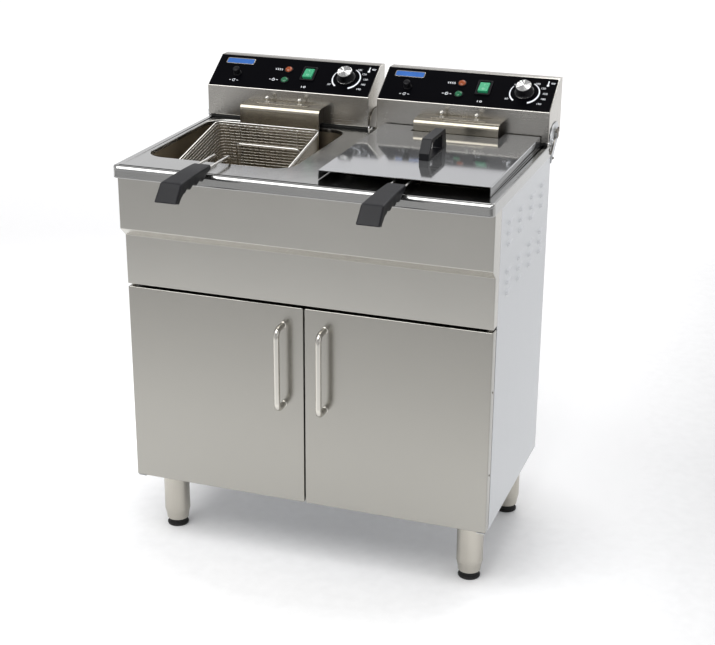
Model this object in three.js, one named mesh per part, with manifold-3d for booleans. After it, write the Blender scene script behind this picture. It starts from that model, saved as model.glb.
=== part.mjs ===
// Free-standing twin-tank electric deep fryer on a two-door cabinet.
// Millimetres, +Z up. The front faces -Y, the floor is z = 0 and the object is centred on x = 0 and y = 0.
import * as THREE from 'three';
import { mergeVertices } from 'three/addons/utils/BufferGeometryUtils.js';
import Module from 'manifold-3d';

const wasm = await Module();
wasm.setup();

// ---------------------------------------------------------------- driving dimensions
// Depths are written from the worktop's front edge; the whole group is centred at the end.
const GAP = 0.3; // between pieces that touch
const SHEET = 1.2; // folded sheet steel
const ROUND_SIDES = 20;
const SIDES = [-1, 1]; // left, right
const SIDE_NAMES = { '-1': 'left', 1: 'right' };

const TOP = { width: 700, depth: 430, z: 760, lip: 22, nose: 9, overhang: 17.8 };
const BODY = { halfWidth: TOP.width / 2 - 1.5, back: TOP.depth - SHEET - GAP, bottom: 133, front: 61 };
const FASCIA = { upperEnd: 638, lowerStart: 621, lowerEnd: 527, lowerY: 36.5, depth: 60 };
const DOOR = { bottom: 134, top: 521.5, y: 36.5, thick: 20, centreGap: 1.2, hingeX: 340, hingeY: 46, pin: 4 };
const HANDLE = { x: 40, standOff: 32, rod: 5.5, low: 325, high: 491, bend: 14 };
const LEG = { x: 302, front: 110, back: 392, radius: 25, wall: 1.5, bottom: 14 };
const FOOT = { radius: 20, stem: 6, pad: 5, stemTop: 62 };

const TANK = { inner: 45, outer: 330, front: 85, back: 393, corner: 40, depth: 190, wall: 1.5, rim: 9 };
const DRAIN = { hole: 10, pipe: 13, y: 180, runZ: 500, outletY: 96, bodyY: 140, body: 19 };
const LEVER = { length: 58, width: 13, thick: 4, rise: 24, hub: 8 };

const HEAD = {
  gap: 8.75, outer: 347.5, front: 407, back: 507, bottom: 6, shoulder: 64, high: 112, slopeEnd: 481,
};
const HEAD_X = (HEAD.gap + HEAD.outer) / 2;
const PIVOT = { y: 455, z: TOP.z + 12, radius: 4 };
const LOCK = { y: 419, z: TOP.z + 10, radius: 2.6 };
const PANEL = { thick: 1.4, margin: 2, window: 14 };
const KNOB = { x: 111, t: 45, radius: 15, skirt: 18, height: 20.5, shaft: 3 };
const ROCKER = { x: 32, t: 48, width: 19, length: 26, height: 6, swing: 2.5 };
const BEZEL = { width: 29, length: 37, height: 3, corner: 3 };
const LAMP = { x: -13, heatT: 56, powerT: 27, radius: 7, height: 4.5 };
const RESET = { x: -117, t: 36, cap: 7, capHigh: 11, stem: 4, travel: 3 };
const COVER = { half: 82.5, front: 366, high: 41.5, low: -146, back: 388, nose: 12 };
const HOOK = { spread: 34, y: 388, post: 3, ball: 4.5, rise: 9.5, strip: 9, overhang: 20 };
const ELEMENT = { tube: 4, half: 60, front: 148, back: 380, z: -162, top: 5, pitch: 40, bend: 16 };
const GLAND = { x: 120, z: 28, radius: 11, length: 16, nut: 6, bore: 5 };
const BRACKET = {
  gauge: 1.8, clearance: 0.7, front: 411, back: 480, nose: 440, shoulder: 466,
  low: 38, rise: 2, mid: 22, high: 36,
};

const BASKET = {
  x: 180, width: 210, length: 215, depth: 100, wall: 1.2, taper: 8, tilt: 11.3, backY: 312, backZ: 15,
};
const WIRE = { half: 13.5, radius: 2.5, z: 11, end: 14, bend: 7 };
const GRIP = {
  x: 178, width: 36, back: 12.5, front: -137, top: 16.5, crease: -110, creaseZ: 14.5, tipZ: -13, socket: 12,
  grooves: [-96, -70, -44], groove: 22, ridge: 4, ridgeZ: -6, grooveZ: 3,
};
const LID = { inner: 26.5, outer: 333, front: 41, back: 401, high: 18.5, sheet: 1.5, foot: 1.2, notch: 4 };
const BRIDGE = {
  x: 179.5, width: 18, front: 161, back: 271, topFront: 178, topBack: 262, height: 35, step: 12,
  openFront: 170, openTop: 182, openBack: 245, bar: 6,
  tip: 3, crown: 4, crownBack: 2,
};

const LOUVRE = { first: 108, pitch: 81.5, columns: 4, length: 37, height: 5, groups: [695, 605], drop: 19.5 };

// ---------------------------------------------------------------- materials
function finish(color, roughness, metalness) {
  return new THREE.MeshStandardMaterial({ color, roughness, metalness });
}

const BRUSHED = finish(0xb4b0a6, 0.38, 0.9);
const SIDE_STEEL = finish(0xc9c9cb, 0.5, 0.7);
const POLISHED = finish(0xb9bab8, 0.12, 1);
const TANK_STEEL = finish(0x8a8275, 0.3, 0.9);
const CHROME = finish(0xd8d8d6, 0.12, 1);
const BLACK = finish(0x1b1b1f, 0.45, 0);
const CHARCOAL = finish(0x2b2b30, 0.6, 0);
const GREEN = finish(0x1fa060, 0.3, 0);
const DARK_GREEN = finish(0x0d5c3a, 0.3, 0);
const AMBER = finish(0xd05018, 0.3, 0);
const RUBBER = finish(0x151515, 0.8, 0);
const ELEMENT_STEEL = finish(0x54504a, 0.45, 0.8);

// ---------------------------------------------------------------- solids
function solid(geometry) {
  geometry.deleteAttribute('normal');
  geometry.deleteAttribute('uv');
  const merged = mergeVertices(geometry, 1e-4);
  const vertProperties = new Float32Array(merged.attributes.position.array);
  const triVerts = new Uint32Array(merged.index.array);
  return new wasm.Manifold(new wasm.Mesh({ numProp: 3, vertProperties, triVerts }));
}

function geometryOf(body) {
  const mesh = body.getMesh();
  const geometry = new THREE.BufferGeometry();
  geometry.setAttribute('position', new THREE.BufferAttribute(mesh.vertProperties, 3));
  geometry.setIndex(new THREE.BufferAttribute(mesh.triVerts, 1));
  return geometry;
}

function placed(geometry, x, y, z) {
  geometry.translate(x, y, z);
  return solid(geometry);
}

function box(x0, x1, y0, y1, z0, z1) {
  const geometry = new THREE.BoxGeometry(x1 - x0, y1 - y0, z1 - z0);
  return placed(geometry, (x0 + x1) / 2, (y0 + y1) / 2, (z0 + z1) / 2);
}

// A cylinder along +Z, from z0 to z1.
function upright(radius, x, y, z0, z1, sides = ROUND_SIDES) {
  const geometry = new THREE.CylinderGeometry(radius, radius, z1 - z0, sides);
  geometry.rotateX(Math.PI / 2);
  return placed(geometry, x, y, (z0 + z1) / 2);
}

// A cylinder along X, from x0 to x1.
function crosswise(radius, x0, x1, y, z, sides = ROUND_SIDES) {
  const geometry = new THREE.CylinderGeometry(radius, radius, Math.abs(x1 - x0), sides);
  geometry.rotateZ(Math.PI / 2);
  return placed(geometry, (x0 + x1) / 2, y, z);
}

// A cylinder along Y, from y0 to y1.
function lengthwise(radius, x, y0, y1, z, sides = ROUND_SIDES) {
  return placed(new THREE.CylinderGeometry(radius, radius, y1 - y0, sides), x, (y0 + y1) / 2, z);
}

function extruded(shape, depth, curveSegments = 6) {
  return new THREE.ExtrudeGeometry(shape, { depth, bevelEnabled: false, curveSegments });
}

// Extrudes an outline drawn in plan (x, y) from z0 up to z1.
function planform(shape, z0, z1, curveSegments) {
  return placed(extruded(shape, z1 - z0, curveSegments), 0, 0, z0);
}

// Extrudes an outline drawn in side view (y, z) from x0 to x1.
function sideProfile(shape, x0, x1, curveSegments) {
  const geometry = extruded(shape, x1 - x0, curveSegments);
  geometry.applyMatrix4(new THREE.Matrix4().set(0, 0, 1, x0, 1, 0, 0, 0, 0, 1, 0, 0, 0, 0, 0, 1));
  return solid(geometry);
}

// Extrudes an outline drawn in front view (x, z) from y0 back to y1.
function frontProfile(shape, y0, y1) {
  const geometry = extruded(shape, y1 - y0);
  geometry.applyMatrix4(new THREE.Matrix4().set(1, 0, 0, 0, 0, 0, -1, y1, 0, 1, 0, 0, 0, 0, 0, 1));
  return solid(geometry);
}

function polygon(points) {
  return new THREE.Shape(points.map(([a, b]) => new THREE.Vector2(a, b)));
}

function roundedRectangle(x0, x1, y0, y1, radius) {
  const shape = new THREE.Shape();
  shape.moveTo(x0 + radius, y0);
  shape.lineTo(x1 - radius, y0);
  shape.absarc(x1 - radius, y0 + radius, radius, -Math.PI / 2, 0, false);
  shape.lineTo(x1, y1 - radius);
  shape.absarc(x1 - radius, y1 - radius, radius, 0, Math.PI / 2, false);
  shape.lineTo(x0 + radius, y1);
  shape.absarc(x0 + radius, y1 - radius, radius, Math.PI / 2, Math.PI, false);
  shape.lineTo(x0, y0 + radius);
  shape.absarc(x0 + radius, y0 + radius, radius, Math.PI, Math.PI * 1.5, false);
  return shape;
}

// A round rod or tube along a path of points joined by arcs.
function rod(path, radius, steps, sides) {
  const section = new THREE.Shape();
  section.absarc(0, 0, radius, 0, Math.PI * 2, false);
  const options = { steps, extrudePath: path, curveSegments: sides / 2 };
  return solid(new THREE.ExtrudeGeometry(section, options));
}

function bentPath(points, bend) {
  const path = new THREE.CurvePath();
  let from = points[0];
  for (let i = 1; i < points.length - 1; i += 1) {
    const corner = points[i];
    const entry = corner.clone().add(points[i - 1].clone().sub(corner).setLength(bend));
    const exit = corner.clone().add(points[i + 1].clone().sub(corner).setLength(bend));
    path.add(new THREE.LineCurve3(from, entry));
    path.add(new THREE.QuadraticBezierCurve3(entry, corner, exit));
    from = exit;
  }
  path.add(new THREE.LineCurve3(from, points[points.length - 1]));
  return path;
}

function turned(profile, sides) {
  const points = profile.map(([r, z]) => new THREE.Vector2(r, z));
  const geometry = new THREE.LatheGeometry(points, sides);
  geometry.rotateX(Math.PI / 2);
  return geometry;
}

const group = new THREE.Group();

function add(name, body, material) {
  const mesh = new THREE.Mesh(geometryOf(body), material);
  mesh.name = name;
  group.add(mesh);
}

function both(build) {
  for (const side of SIDES) {
    build(side, SIDE_NAMES[side]);
  }
}

// The box between two distances from the centre line, on one side of it.
function sideBox(side, near, far, y0, y1, z0, z1) {
  const x0 = Math.min(side * near, side * far);
  const x1 = Math.max(side * near, side * far);
  return box(x0, x1, y0, y1, z0, z1);
}

// ---------------------------------------------------------------- cabinet
function tankOutline(side, grow) {
  const a = side * TANK.inner;
  const b = side * TANK.outer;
  const x0 = Math.min(a, b) - grow;
  const x1 = Math.max(a, b) + grow;
  return roundedRectangle(x0, x1, TANK.front - grow, TANK.back + grow, TANK.corner + grow);
}

function worktopSection(inset) {
  const shape = new THREE.Shape();
  const nose = TOP.nose - inset;
  const low = TOP.z - TOP.lip + inset;
  shape.moveTo(TOP.depth - inset, low);
  shape.lineTo(TOP.depth - inset, TOP.z - inset);
  shape.lineTo(TOP.nose, TOP.z - inset);
  shape.absarc(TOP.nose, TOP.z - TOP.nose, nose, Math.PI / 2, Math.PI, false);
  shape.lineTo(inset, low);
  return shape;
}

function makeWorktop() {
  const half = TOP.width / 2;
  const low = TOP.z - TOP.lip;
  let body = sideProfile(worktopSection(0), -half, half);
  body = body.subtract(sideProfile(worktopSection(SHEET), SHEET - half, half - SHEET));
  const [front, back] = [TOP.overhang - 0.5, TOP.depth - SHEET];
  body = body.subtract(box(SHEET - half, half - SHEET, front, back, low - 1, low + 5));
  for (const side of SIDES) {
    body = body.subtract(planform(tankOutline(side, 0), TOP.z - 5, TOP.z + 5));
  }
  add('worktop', body, BRUSHED);
}

function makeTank(side, name) {
  const rimTop = TOP.z - SHEET - GAP;
  const floor = TOP.z - TANK.depth;
  const x = side * (TANK.inner + TANK.outer) / 2;
  let body = planform(tankOutline(side, TANK.wall), floor, rimTop);
  body = body.add(planform(tankOutline(side, TANK.rim), rimTop - TANK.wall, rimTop));
  body = body.subtract(planform(tankOutline(side, 0), floor + TANK.wall, rimTop + 1));
  body = body.subtract(upright(DRAIN.hole, x, DRAIN.y, floor - 1, floor + TANK.wall + 1));
  add(`tank_${name}`, body, TANK_STEEL);
}

function makeFascia() {
  const { upperEnd, lowerStart, lowerEnd, lowerY, depth } = FASCIA;
  const front = TOP.overhang;
  const high = TOP.z - 8;
  const outer = [
    [front, high], [front, upperEnd], [lowerY, lowerStart],
    [lowerY, lowerEnd], [depth, lowerEnd], [depth, high],
  ];
  const inner = [
    [front + SHEET, high + 1], [front + SHEET, upperEnd + 0.6], [lowerY + SHEET, lowerStart + 0.6],
    [lowerY + SHEET, lowerEnd + SHEET], [depth + 1, lowerEnd + SHEET], [depth + 1, high + 1],
  ];
  let body = sideProfile(polygon(outer.reverse()), -BODY.halfWidth, BODY.halfWidth);
  body = body.subtract(sideProfile(polygon(inner.reverse()), SHEET - BODY.halfWidth, BODY.halfWidth - SHEET));
  add('front_fascia', body, BRUSHED);
}

function makeSidePanel(side, name) {
  const high = TOP.z - 3;
  const outer = BODY.halfWidth;
  const inner = outer - SHEET;
  let body = sideBox(side, inner, outer, BODY.front, BODY.back - SHEET - GAP, BODY.bottom, high);
  body = body.add(sideBox(side, outer - 18, outer, BODY.front, BODY.front + SHEET, BODY.bottom, high));
  for (const start of LOUVRE.groups) {
    for (let row = 0; row < 3; row += 1) {
      for (let column = 0; column < LOUVRE.columns; column += 1) {
        const y = LOUVRE.first + column * LOUVRE.pitch;
        const z = start - row * LOUVRE.drop;
        body = body.subtract(sideBox(side, inner - 1, outer + 1, y, y + LOUVRE.length, z, z + LOUVRE.height));
      }
    }
  }
  add(`side_panel_${name}`, body, SIDE_STEEL);
}

function makeBackPanel() {
  const body = box(-BODY.halfWidth, BODY.halfWidth, BODY.back - SHEET, BODY.back, BODY.bottom, TOP.z - 3);
  add('back_panel', body, SIDE_STEEL);
}

function makeBasePan() {
  const high = BODY.bottom - GAP;
  const low = high - 1.5;
  let body = box(-BODY.halfWidth, BODY.halfWidth, BODY.front, BODY.back, low, high);
  for (const side of SIDES) {
    const tab = sideBox(side, DOOR.hingeX - 9, DOOR.hingeX + 7, DOOR.y + 2, BODY.front + 1, low, high);
    const pin = upright(DOOR.pin, side * DOOR.hingeX, DOOR.hingeY, low + 0.5, DOOR.bottom + 14);
    body = body.add(tab).add(pin);
  }
  add('base_pan', body, SIDE_STEEL);
}

function makeLeg(x, y, name) {
  const high = BODY.bottom - 1.5 - 2 * GAP;
  const { radius, wall, bottom } = LEG;
  const throat = radius - 4;
  const profile = [
    [throat, bottom], [throat, bottom + 12], [radius - wall, bottom + 20], [radius - wall, high - 3],
    [0, high - 3], [0, high], [radius + 6, high], [radius + 6, high - 3],
    [radius, high - 3], [radius, bottom + 16], [radius - 3, bottom], [throat, bottom],
  ];
  const geometry = turned(profile.reverse(), 18);
  add(`leg_${name}`, placed(geometry, x, y, 0), BRUSHED);
}

function makeFoot(x, y, name) {
  const { radius, stem, pad, stemTop } = FOOT;
  const high = LEG.bottom - GAP;
  const profile = [
    [0, 0], [radius, 0], [radius + 1, 1], [radius + 1, pad - 1], [radius - 3, pad], [radius - 3, high],
    [stem, high], [stem, stemTop], [0, stemTop],
  ];
  add(`foot_${name}`, placed(turned(profile, 16), x, y, 0), RUBBER);
}

function makeStands() {
  both((side, name) => {
    for (const [y, end] of [[LEG.front, 'front'], [LEG.back, 'rear']]) {
      makeLeg(side * LEG.x, y, `${end}_${name}`);
      makeFoot(side * LEG.x, y, `${end}_${name}`);
    }
  });
}

// ---------------------------------------------------------------- doors
function makeDoor(side, name) {
  const far = BODY.halfWidth - 0.2;
  const { bottom, top, y, thick, centreGap, hingeX, hingeY, pin } = DOOR;
  let body = sideBox(side, centreGap, far, y, y + thick, bottom, top);
  const [near, away] = [centreGap + SHEET, far - SHEET];
  body = body.subtract(sideBox(side, near, away, y + SHEET, y + thick + 1, bottom + SHEET, top - SHEET));
  body = body.subtract(upright(pin + GAP, side * hingeX, hingeY, bottom - 1, top + 1, 16));
  add(`door_${name}`, body, BRUSHED);
}

function makeHingePin(side, name) {
  const body = upright(DOOR.pin, side * DOOR.hingeX, DOOR.hingeY, DOOR.top - 15, FASCIA.lowerEnd - GAP, 16);
  add(`hinge_pin_${name}`, body, CHROME);
}

function makeDoorHandle(side, name) {
  const x = side * HANDLE.x;
  const out = DOOR.y - HANDLE.standOff;
  const root = DOOR.y - GAP;
  const points = [
    new THREE.Vector3(x, root, HANDLE.low + HANDLE.rod), new THREE.Vector3(x, out, HANDLE.low + HANDLE.rod),
    new THREE.Vector3(x, out, HANDLE.high - HANDLE.rod), new THREE.Vector3(x, root, HANDLE.high - HANDLE.rod),
  ];
  add(`door_handle_${name}`, rod(bentPath(points, HANDLE.bend), HANDLE.rod, 24, 8), BRUSHED);
}

// ---------------------------------------------------------------- drains
function makeDrain(side, name) {
  const x = side * (TANK.inner + TANK.outer) / 2;
  const { hole, pipe, y, runZ, outletY, bodyY, body: half } = DRAIN;
  const seat = TOP.z - TANK.depth - GAP;
  let body = upright(pipe, x, y, runZ, seat);
  body = body.add(upright(pipe + 6, x, y, seat - 4, seat));
  body = body.add(lengthwise(pipe, x, outletY, y + pipe, runZ));
  body = body.add(lengthwise(pipe + 3, x, outletY + 4, outletY + 14, runZ, 6));
  body = body.add(box(x - half, x + half, bodyY - half, bodyY + half, runZ - half, runZ + half));
  body = body.subtract(upright(hole, x, y, runZ, seat + 1));
  body = body.subtract(lengthwise(hole, x, outletY - 1, y, runZ));
  add(`drain_valve_${name}`, body, CHROME);
  makeDrainLever(x, name);
}

function makeDrainLever(x, name) {
  const { runZ, bodyY, body: bodyHalf } = DRAIN;
  const low = runZ + bodyHalf + GAP;
  const high = runZ + LEVER.rise;
  const half = LEVER.width / 2;
  let body = upright(LEVER.hub, x, bodyY, low, high);
  body = body.add(box(x, x + LEVER.length - half, bodyY - half, bodyY + half, high - LEVER.thick, high));
  body = body.add(upright(half, x + LEVER.length - half, bodyY, high - LEVER.thick, high));
  add(`drain_lever_${name}`, body, CHROME);
}

// ---------------------------------------------------------------- control heads
const SLOPE = Math.atan2(HEAD.high - HEAD.shoulder, HEAD.slopeEnd - HEAD.front);
const PANEL_LENGTH = Math.hypot(HEAD.high - HEAD.shoulder, HEAD.slopeEnd - HEAD.front);

// Moves a solid drawn on the control panel (x across, y up the slope, z out of it) to its place.
function onPanel(body, side) {
  const [c, s] = [Math.cos(SLOPE), Math.sin(SLOPE)];
  const x = side * HEAD_X;
  const [y, z] = [HEAD.front, TOP.z + HEAD.shoulder];
  // A manifold transform is a 4 by 4 matrix in column order.
  return body.transform([1, 0, 0, 0, 0, c, s, 0, 0, -s, c, 0, x, y, z, 1]);
}

function headSection(inset) {
  const lean = inset * Math.tan(SLOPE / 2);
  return polygon([
    [HEAD.front + inset, TOP.z + HEAD.bottom + inset], [HEAD.back - inset, TOP.z + HEAD.bottom + inset],
    [HEAD.back - inset, TOP.z + HEAD.high - inset], [HEAD.slopeEnd + lean, TOP.z + HEAD.high - inset],
    [HEAD.front + inset, TOP.z + HEAD.shoulder - inset * (1 / Math.cos(SLOPE) - Math.tan(SLOPE))],
  ]);
}

function makeHousing(side, name) {
  const x0 = side < 0 ? -HEAD.outer : HEAD.gap;
  const x1 = side < 0 ? -HEAD.gap : HEAD.outer;
  let body = sideProfile(headSection(0), x0, x1);
  body = body.subtract(sideProfile(headSection(SHEET), x0 + SHEET, x1 - SHEET));
  const half = (x1 - x0) / 2 - PANEL.window;
  body = body.subtract(onPanel(box(-half, half, PANEL.window, PANEL_LENGTH - PANEL.window, -10, 10), side));
  body = body.subtract(crosswise(PIVOT.radius + GAP, x0 - 1, x1 + 1, PIVOT.y, PIVOT.z, 16));
  add(`head_housing_${name}`, body, BRUSHED);
}

// The hole that the rocker swings in, through the panel and the bezel.
function rockerHole() {
  const { x, t, width, length, swing } = ROCKER;
  const halfX = width / 2 + 1;
  const halfT = length / 2 + swing;
  return box(x - halfX, x + halfX, t - halfT, t + halfT, -10, 10);
}

function makeControlPanel(side, name) {
  const half = (HEAD.outer - HEAD.gap) / 2 - PANEL.margin;
  let body = box(-half, half, PANEL.margin, PANEL_LENGTH - PANEL.margin, GAP, GAP + PANEL.thick);
  body = body.subtract(upright(KNOB.shaft + 0.5, KNOB.x, KNOB.t, -1, 5, 12));
  body = body.subtract(upright(RESET.stem + 0.5, RESET.x, RESET.t, -1, 5, 12));
  body = body.subtract(rockerHole());
  add(`control_panel_${name}`, onPanel(body, side), BLACK);
}

function makeKnob(side, name) {
  const base = 2 * GAP + PANEL.thick;
  const { radius, skirt, height, shaft } = KNOB;
  const profile = [
    [0, base - 5], [shaft, base - 5], [shaft, base], [skirt, base], [skirt, base + 4],
    [radius + 0.5, base + 7], [radius, base + height - 1.5],
    [radius - 1.5, base + height], [0, base + height],
  ];
  let body = placed(turned(profile, 18), KNOB.x, KNOB.t, 0);
  const edge = KNOB.t + radius;
  body = body.subtract(box(KNOB.x - 1, KNOB.x + 1, edge - 4, edge + 4, base + 6, base + height + 2));
  add(`thermostat_knob_${name}`, onPanel(body, side), BLACK);
}

function makeRocker(side, name) {
  const { x, t, width, length, height } = ROCKER;
  const base = 2 * GAP + PANEL.thick;
  const [halfX, halfT] = [BEZEL.width / 2, BEZEL.length / 2];
  const frame = roundedRectangle(x - halfX, x + halfX, t - halfT, t + halfT, BEZEL.corner);
  const bezel = planform(frame, base, base + BEZEL.height, 3).subtract(rockerHole());
  add(`switch_bezel_${name}`, onPanel(bezel, side), BLACK);
  // The rocker is a shallow V in side view and turns on an axis through its middle.
  const half = length / 2;
  const outline = polygon([
    [t - half, -4], [t + half, -4], [t + half, base + height - 3.5],
    [t, base + height - 2], [t - half, base + height],
  ]);
  const body = sideProfile(outline, x - width / 2, x + width / 2);
  add(`power_switch_${name}`, onPanel(body, side), GREEN);
}

function makeLamp(side, name, label, t, material) {
  const base = 2 * GAP + PANEL.thick;
  const { x, radius, height } = LAMP;
  const profile = [
    [0, base], [radius + 1.5, base], [radius + 1.5, base + 1.5], [radius, base + 2],
    [radius * 0.8, base + height - 1], [radius * 0.4, base + height], [0, base + height],
  ];
  add(`${label}_lamp_${name}`, onPanel(placed(turned(profile, 16), x, t, 0), side), material);
}

function makeResetButton(side, name) {
  const base = 2 * GAP + PANEL.thick + RESET.travel;
  let body = upright(RESET.cap, RESET.x, RESET.t, base, base + RESET.capHigh, 16);
  body = body.add(upright(RESET.stem, RESET.x, RESET.t, -4, base + 1, 12));
  add(`reset_button_${name}`, onPanel(body, side), BLACK);
}

function makeElementCover(side, name) {
  const x = side * HEAD_X;
  const { half, front, high, low, back, nose } = COVER;
  const rear = HEAD.front - GAP;
  const section = (inset) => {
    const shape = new THREE.Shape();
    shape.moveTo(front + inset, TOP.z + low - (inset ? 1 : 0));
    shape.lineTo(rear + inset * 2, TOP.z + low - (inset ? 1 : 0));
    shape.lineTo(rear + inset * 2, TOP.z + high - inset);
    shape.lineTo(front + nose, TOP.z + high - inset);
    shape.absarc(front + nose, TOP.z + high - nose, nose - inset, Math.PI / 2, Math.PI, false);
    return shape;
  };
  let body = sideProfile(section(0), x - half, x + half);
  body = body.subtract(sideProfile(section(SHEET), x - half + SHEET, x + half - SHEET));
  // The head rests on the worktop behind the cover, so the cover's rear is cut away below it.
  const cutTop = TOP.z + HEAD.bottom + 2;
  body = body.subtract(box(x - half - 1, x + half + 1, back, rear + 1, TOP.z + low - 1, cutTop));
  add(`element_cover_${name}`, body, POLISHED);
}

function makeHooks(side, name) {
  const x = side * HEAD_X;
  const low = TOP.z + COVER.high + GAP;
  const { spread, y, post, ball, rise, strip, overhang } = HOOK;
  let body = box(x - spread - overhang, x + spread + overhang, y - strip, y + strip, low, low + 1.5);
  for (const hand of SIDES) {
    body = body.add(upright(post, x + hand * spread, y, low + 1, low + rise, 12));
    body = body.add(placed(new THREE.SphereGeometry(ball, 10, 6), x + hand * spread, y, low + rise));
  }
  add(`basket_hooks_${name}`, body, CHROME);
}

function makeElement(side, name) {
  const x = side * HEAD_X;
  const { tube, half, front, back, z, top, pitch, bend } = ELEMENT;
  const point = (dx, y, dz) => new THREE.Vector3(x + dx, y, TOP.z + dz);
  const inner = half - pitch;
  const points = [
    point(-half, back, top), point(-half, back, z), point(-half, front, z), point(-inner, front, z),
    point(-inner, back - pitch, z), point(inner, back - pitch, z), point(inner, front, z),
    point(half, front, z), point(half, back, z), point(half, back, top),
  ];
  add(`heating_element_${name}`, rod(bentPath(points, bend), tube, 80, 6), ELEMENT_STEEL);
}

function makeGland(side, name) {
  const x = side * GLAND.x;
  const y = HEAD.back + GAP;
  const z = TOP.z + GLAND.z;
  const { radius, length, nut, bore } = GLAND;
  let body = lengthwise(radius, x, y, y + nut, z, 6);
  body = body.add(lengthwise(radius - 2, x, y + nut - 1, y + length, z, 16));
  body = body.subtract(lengthwise(bore, x, y + nut - 2, y + length + 1, z, 12));
  add(`cable_gland_${name}`, body, BLACK);
}

function makeHead(side, name) {
  makeHousing(side, name);
  makeControlPanel(side, name);
  makeKnob(side, name);
  makeRocker(side, name);
  makeLamp(side, name, 'heat', LAMP.heatT, AMBER);
  makeLamp(side, name, 'power', LAMP.powerT, DARK_GREEN);
  makeResetButton(side, name);
  makeElementCover(side, name);
  makeHooks(side, name);
  makeElement(side, name);
  makeGland(side, name);
}

// ---------------------------------------------------------------- head brackets
// A plate bolted to the cabinet's back; it rises beside the head and carries its pivot and lock pin.
function bracketOutline() {
  const shape = new THREE.Shape();
  const wall = BODY.back + GAP + SHEET;
  const { front, back, nose, shoulder, low, rise, mid, high } = BRACKET;
  shape.moveTo(wall + SHEET, TOP.z - low);
  shape.lineTo(back, TOP.z + rise);
  shape.lineTo(back, TOP.z + mid);
  shape.lineTo(shoulder, TOP.z + high);
  shape.lineTo(nose, TOP.z + high);
  shape.quadraticCurveTo(front + 1, TOP.z + high - 4, front, TOP.z + rise);
  shape.lineTo(wall + GAP, TOP.z + rise);
  shape.lineTo(wall + GAP, TOP.z - low);
  return shape;
}

// One bracket plate between x0 and x1, with its pivot and lock pins reaching to pinX inside the head.
function bracketPlate(x0, x1, pinX) {
  const a = Math.min(x0, x1);
  const b = Math.max(x0, x1);
  const body = sideProfile(bracketOutline(), a, b);
  return body.add(crosswise(PIVOT.radius, (x0 + x1) / 2, pinX, PIVOT.y, PIVOT.z, 16));
}

function makeOuterBracket(side, name) {
  const wall = BODY.back + GAP + SHEET + GAP;
  const x0 = side * (HEAD.outer + BRACKET.clearance);
  const x1 = x0 + side * BRACKET.gauge;
  let body = bracketPlate(x0, x1, side * (HEAD.outer - 10));
  const low = TOP.z - BRACKET.low;
  body = body.add(sideBox(side, HEAD.outer - 24, HEAD.outer + 2, wall, wall + 1.5, low, TOP.z - 2));
  body = body.add(crosswise(8, x1, x1 + side * 4, PIVOT.y, PIVOT.z, 6));
  body = body.add(crosswise(LOCK.radius, x1 - side, x1 + side * 3, LOCK.y, LOCK.z, 12));
  add(`head_bracket_${name}`, body, SIDE_STEEL);
}

function makeCentreBracket() {
  const wall = BODY.back + GAP + SHEET + GAP;
  const far = HEAD.gap - BRACKET.clearance;
  const near = far - BRACKET.gauge;
  let body = box(-far, far, wall, wall + 1.5, TOP.z - BRACKET.low, TOP.z + BRACKET.rise);
  for (const side of SIDES) {
    body = body.add(bracketPlate(side * near, side * far, side * (HEAD.gap + 10)));
  }
  add('head_bracket_centre', body, SIDE_STEEL);
}

// ---------------------------------------------------------------- baskets and lid
function basketShell(grow, lift) {
  const { width, length, depth, taper } = BASKET;
  const geometry = new THREE.BoxGeometry(width + 2 * grow, length + 2 * grow, depth);
  const position = geometry.attributes.position;
  for (let i = 0; i < position.count; i += 1) {
    if (position.getZ(i) < 0) {
      position.setX(i, position.getX(i) - Math.sign(position.getX(i)) * taper);
      position.setY(i, position.getY(i) - Math.sign(position.getY(i)) * taper);
    }
  }
  geometry.translate(0, -length / 2, -depth / 2 + lift);
  geometry.rotateX(THREE.MathUtils.degToRad(BASKET.tilt));
  geometry.translate(0, BASKET.backY, TOP.z + BASKET.backZ);
  return solid(geometry);
}

function handleWire(x) {
  const tilt = THREE.MathUtils.degToRad(BASKET.tilt);
  const rimY = BASKET.backY - BASKET.length * Math.cos(tilt);
  const rimZ = BASKET.backZ - BASKET.length * Math.sin(tilt);
  const point = (y, z) => new THREE.Vector3(x, y, TOP.z + z);
  const points = [
    point(rimY + 9, rimZ - 26), point(rimY + 0.5, rimZ - 1), point(rimY - 4, WIRE.z), point(WIRE.end, WIRE.z),
  ];
  return rod(bentPath(points, WIRE.bend), WIRE.radius, 18, 6);
}

function makeBasket(side, name) {
  let body = basketShell(0, 0).subtract(basketShell(-BASKET.wall, BASKET.wall));
  body = body.translate([side * BASKET.x, 0, 0]);
  for (const hand of SIDES) {
    body = body.add(handleWire(side * GRIP.x + hand * WIRE.half));
  }
  add(`basket_${name}`, body, CHROME);
}

// Side view of the grip: a flat top, a crease to the down-turned end and three finger grooves underneath.
function gripOutline() {
  const shape = new THREE.Shape();
  const z = (dz) => TOP.z + dz;
  const { back, front, top, crease, creaseZ, tipZ, grooves, groove, ridge, ridgeZ, grooveZ } = GRIP;
  shape.moveTo(back, z(5));
  shape.lineTo(back, z(top));
  shape.quadraticCurveTo(crease / 2, z(top + 1), crease, z(creaseZ));
  shape.quadraticCurveTo(crease - 5, z(creaseZ - 1), crease - 7, z(creaseZ - 4));
  shape.lineTo(front, z(tipZ));
  shape.lineTo(front + 20, z(tipZ - 5));
  shape.quadraticCurveTo(crease, z(ridgeZ + 1), grooves[0] - 2, z(ridgeZ + 1));
  for (const start of grooves) {
    shape.quadraticCurveTo(start + groove / 2, z(grooveZ), start + groove, z(ridgeZ));
    shape.lineTo(start + groove + ridge, z(ridgeZ));
  }
  shape.quadraticCurveTo(-10, z(-3), -5, z(3.5));
  return shape;
}

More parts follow.
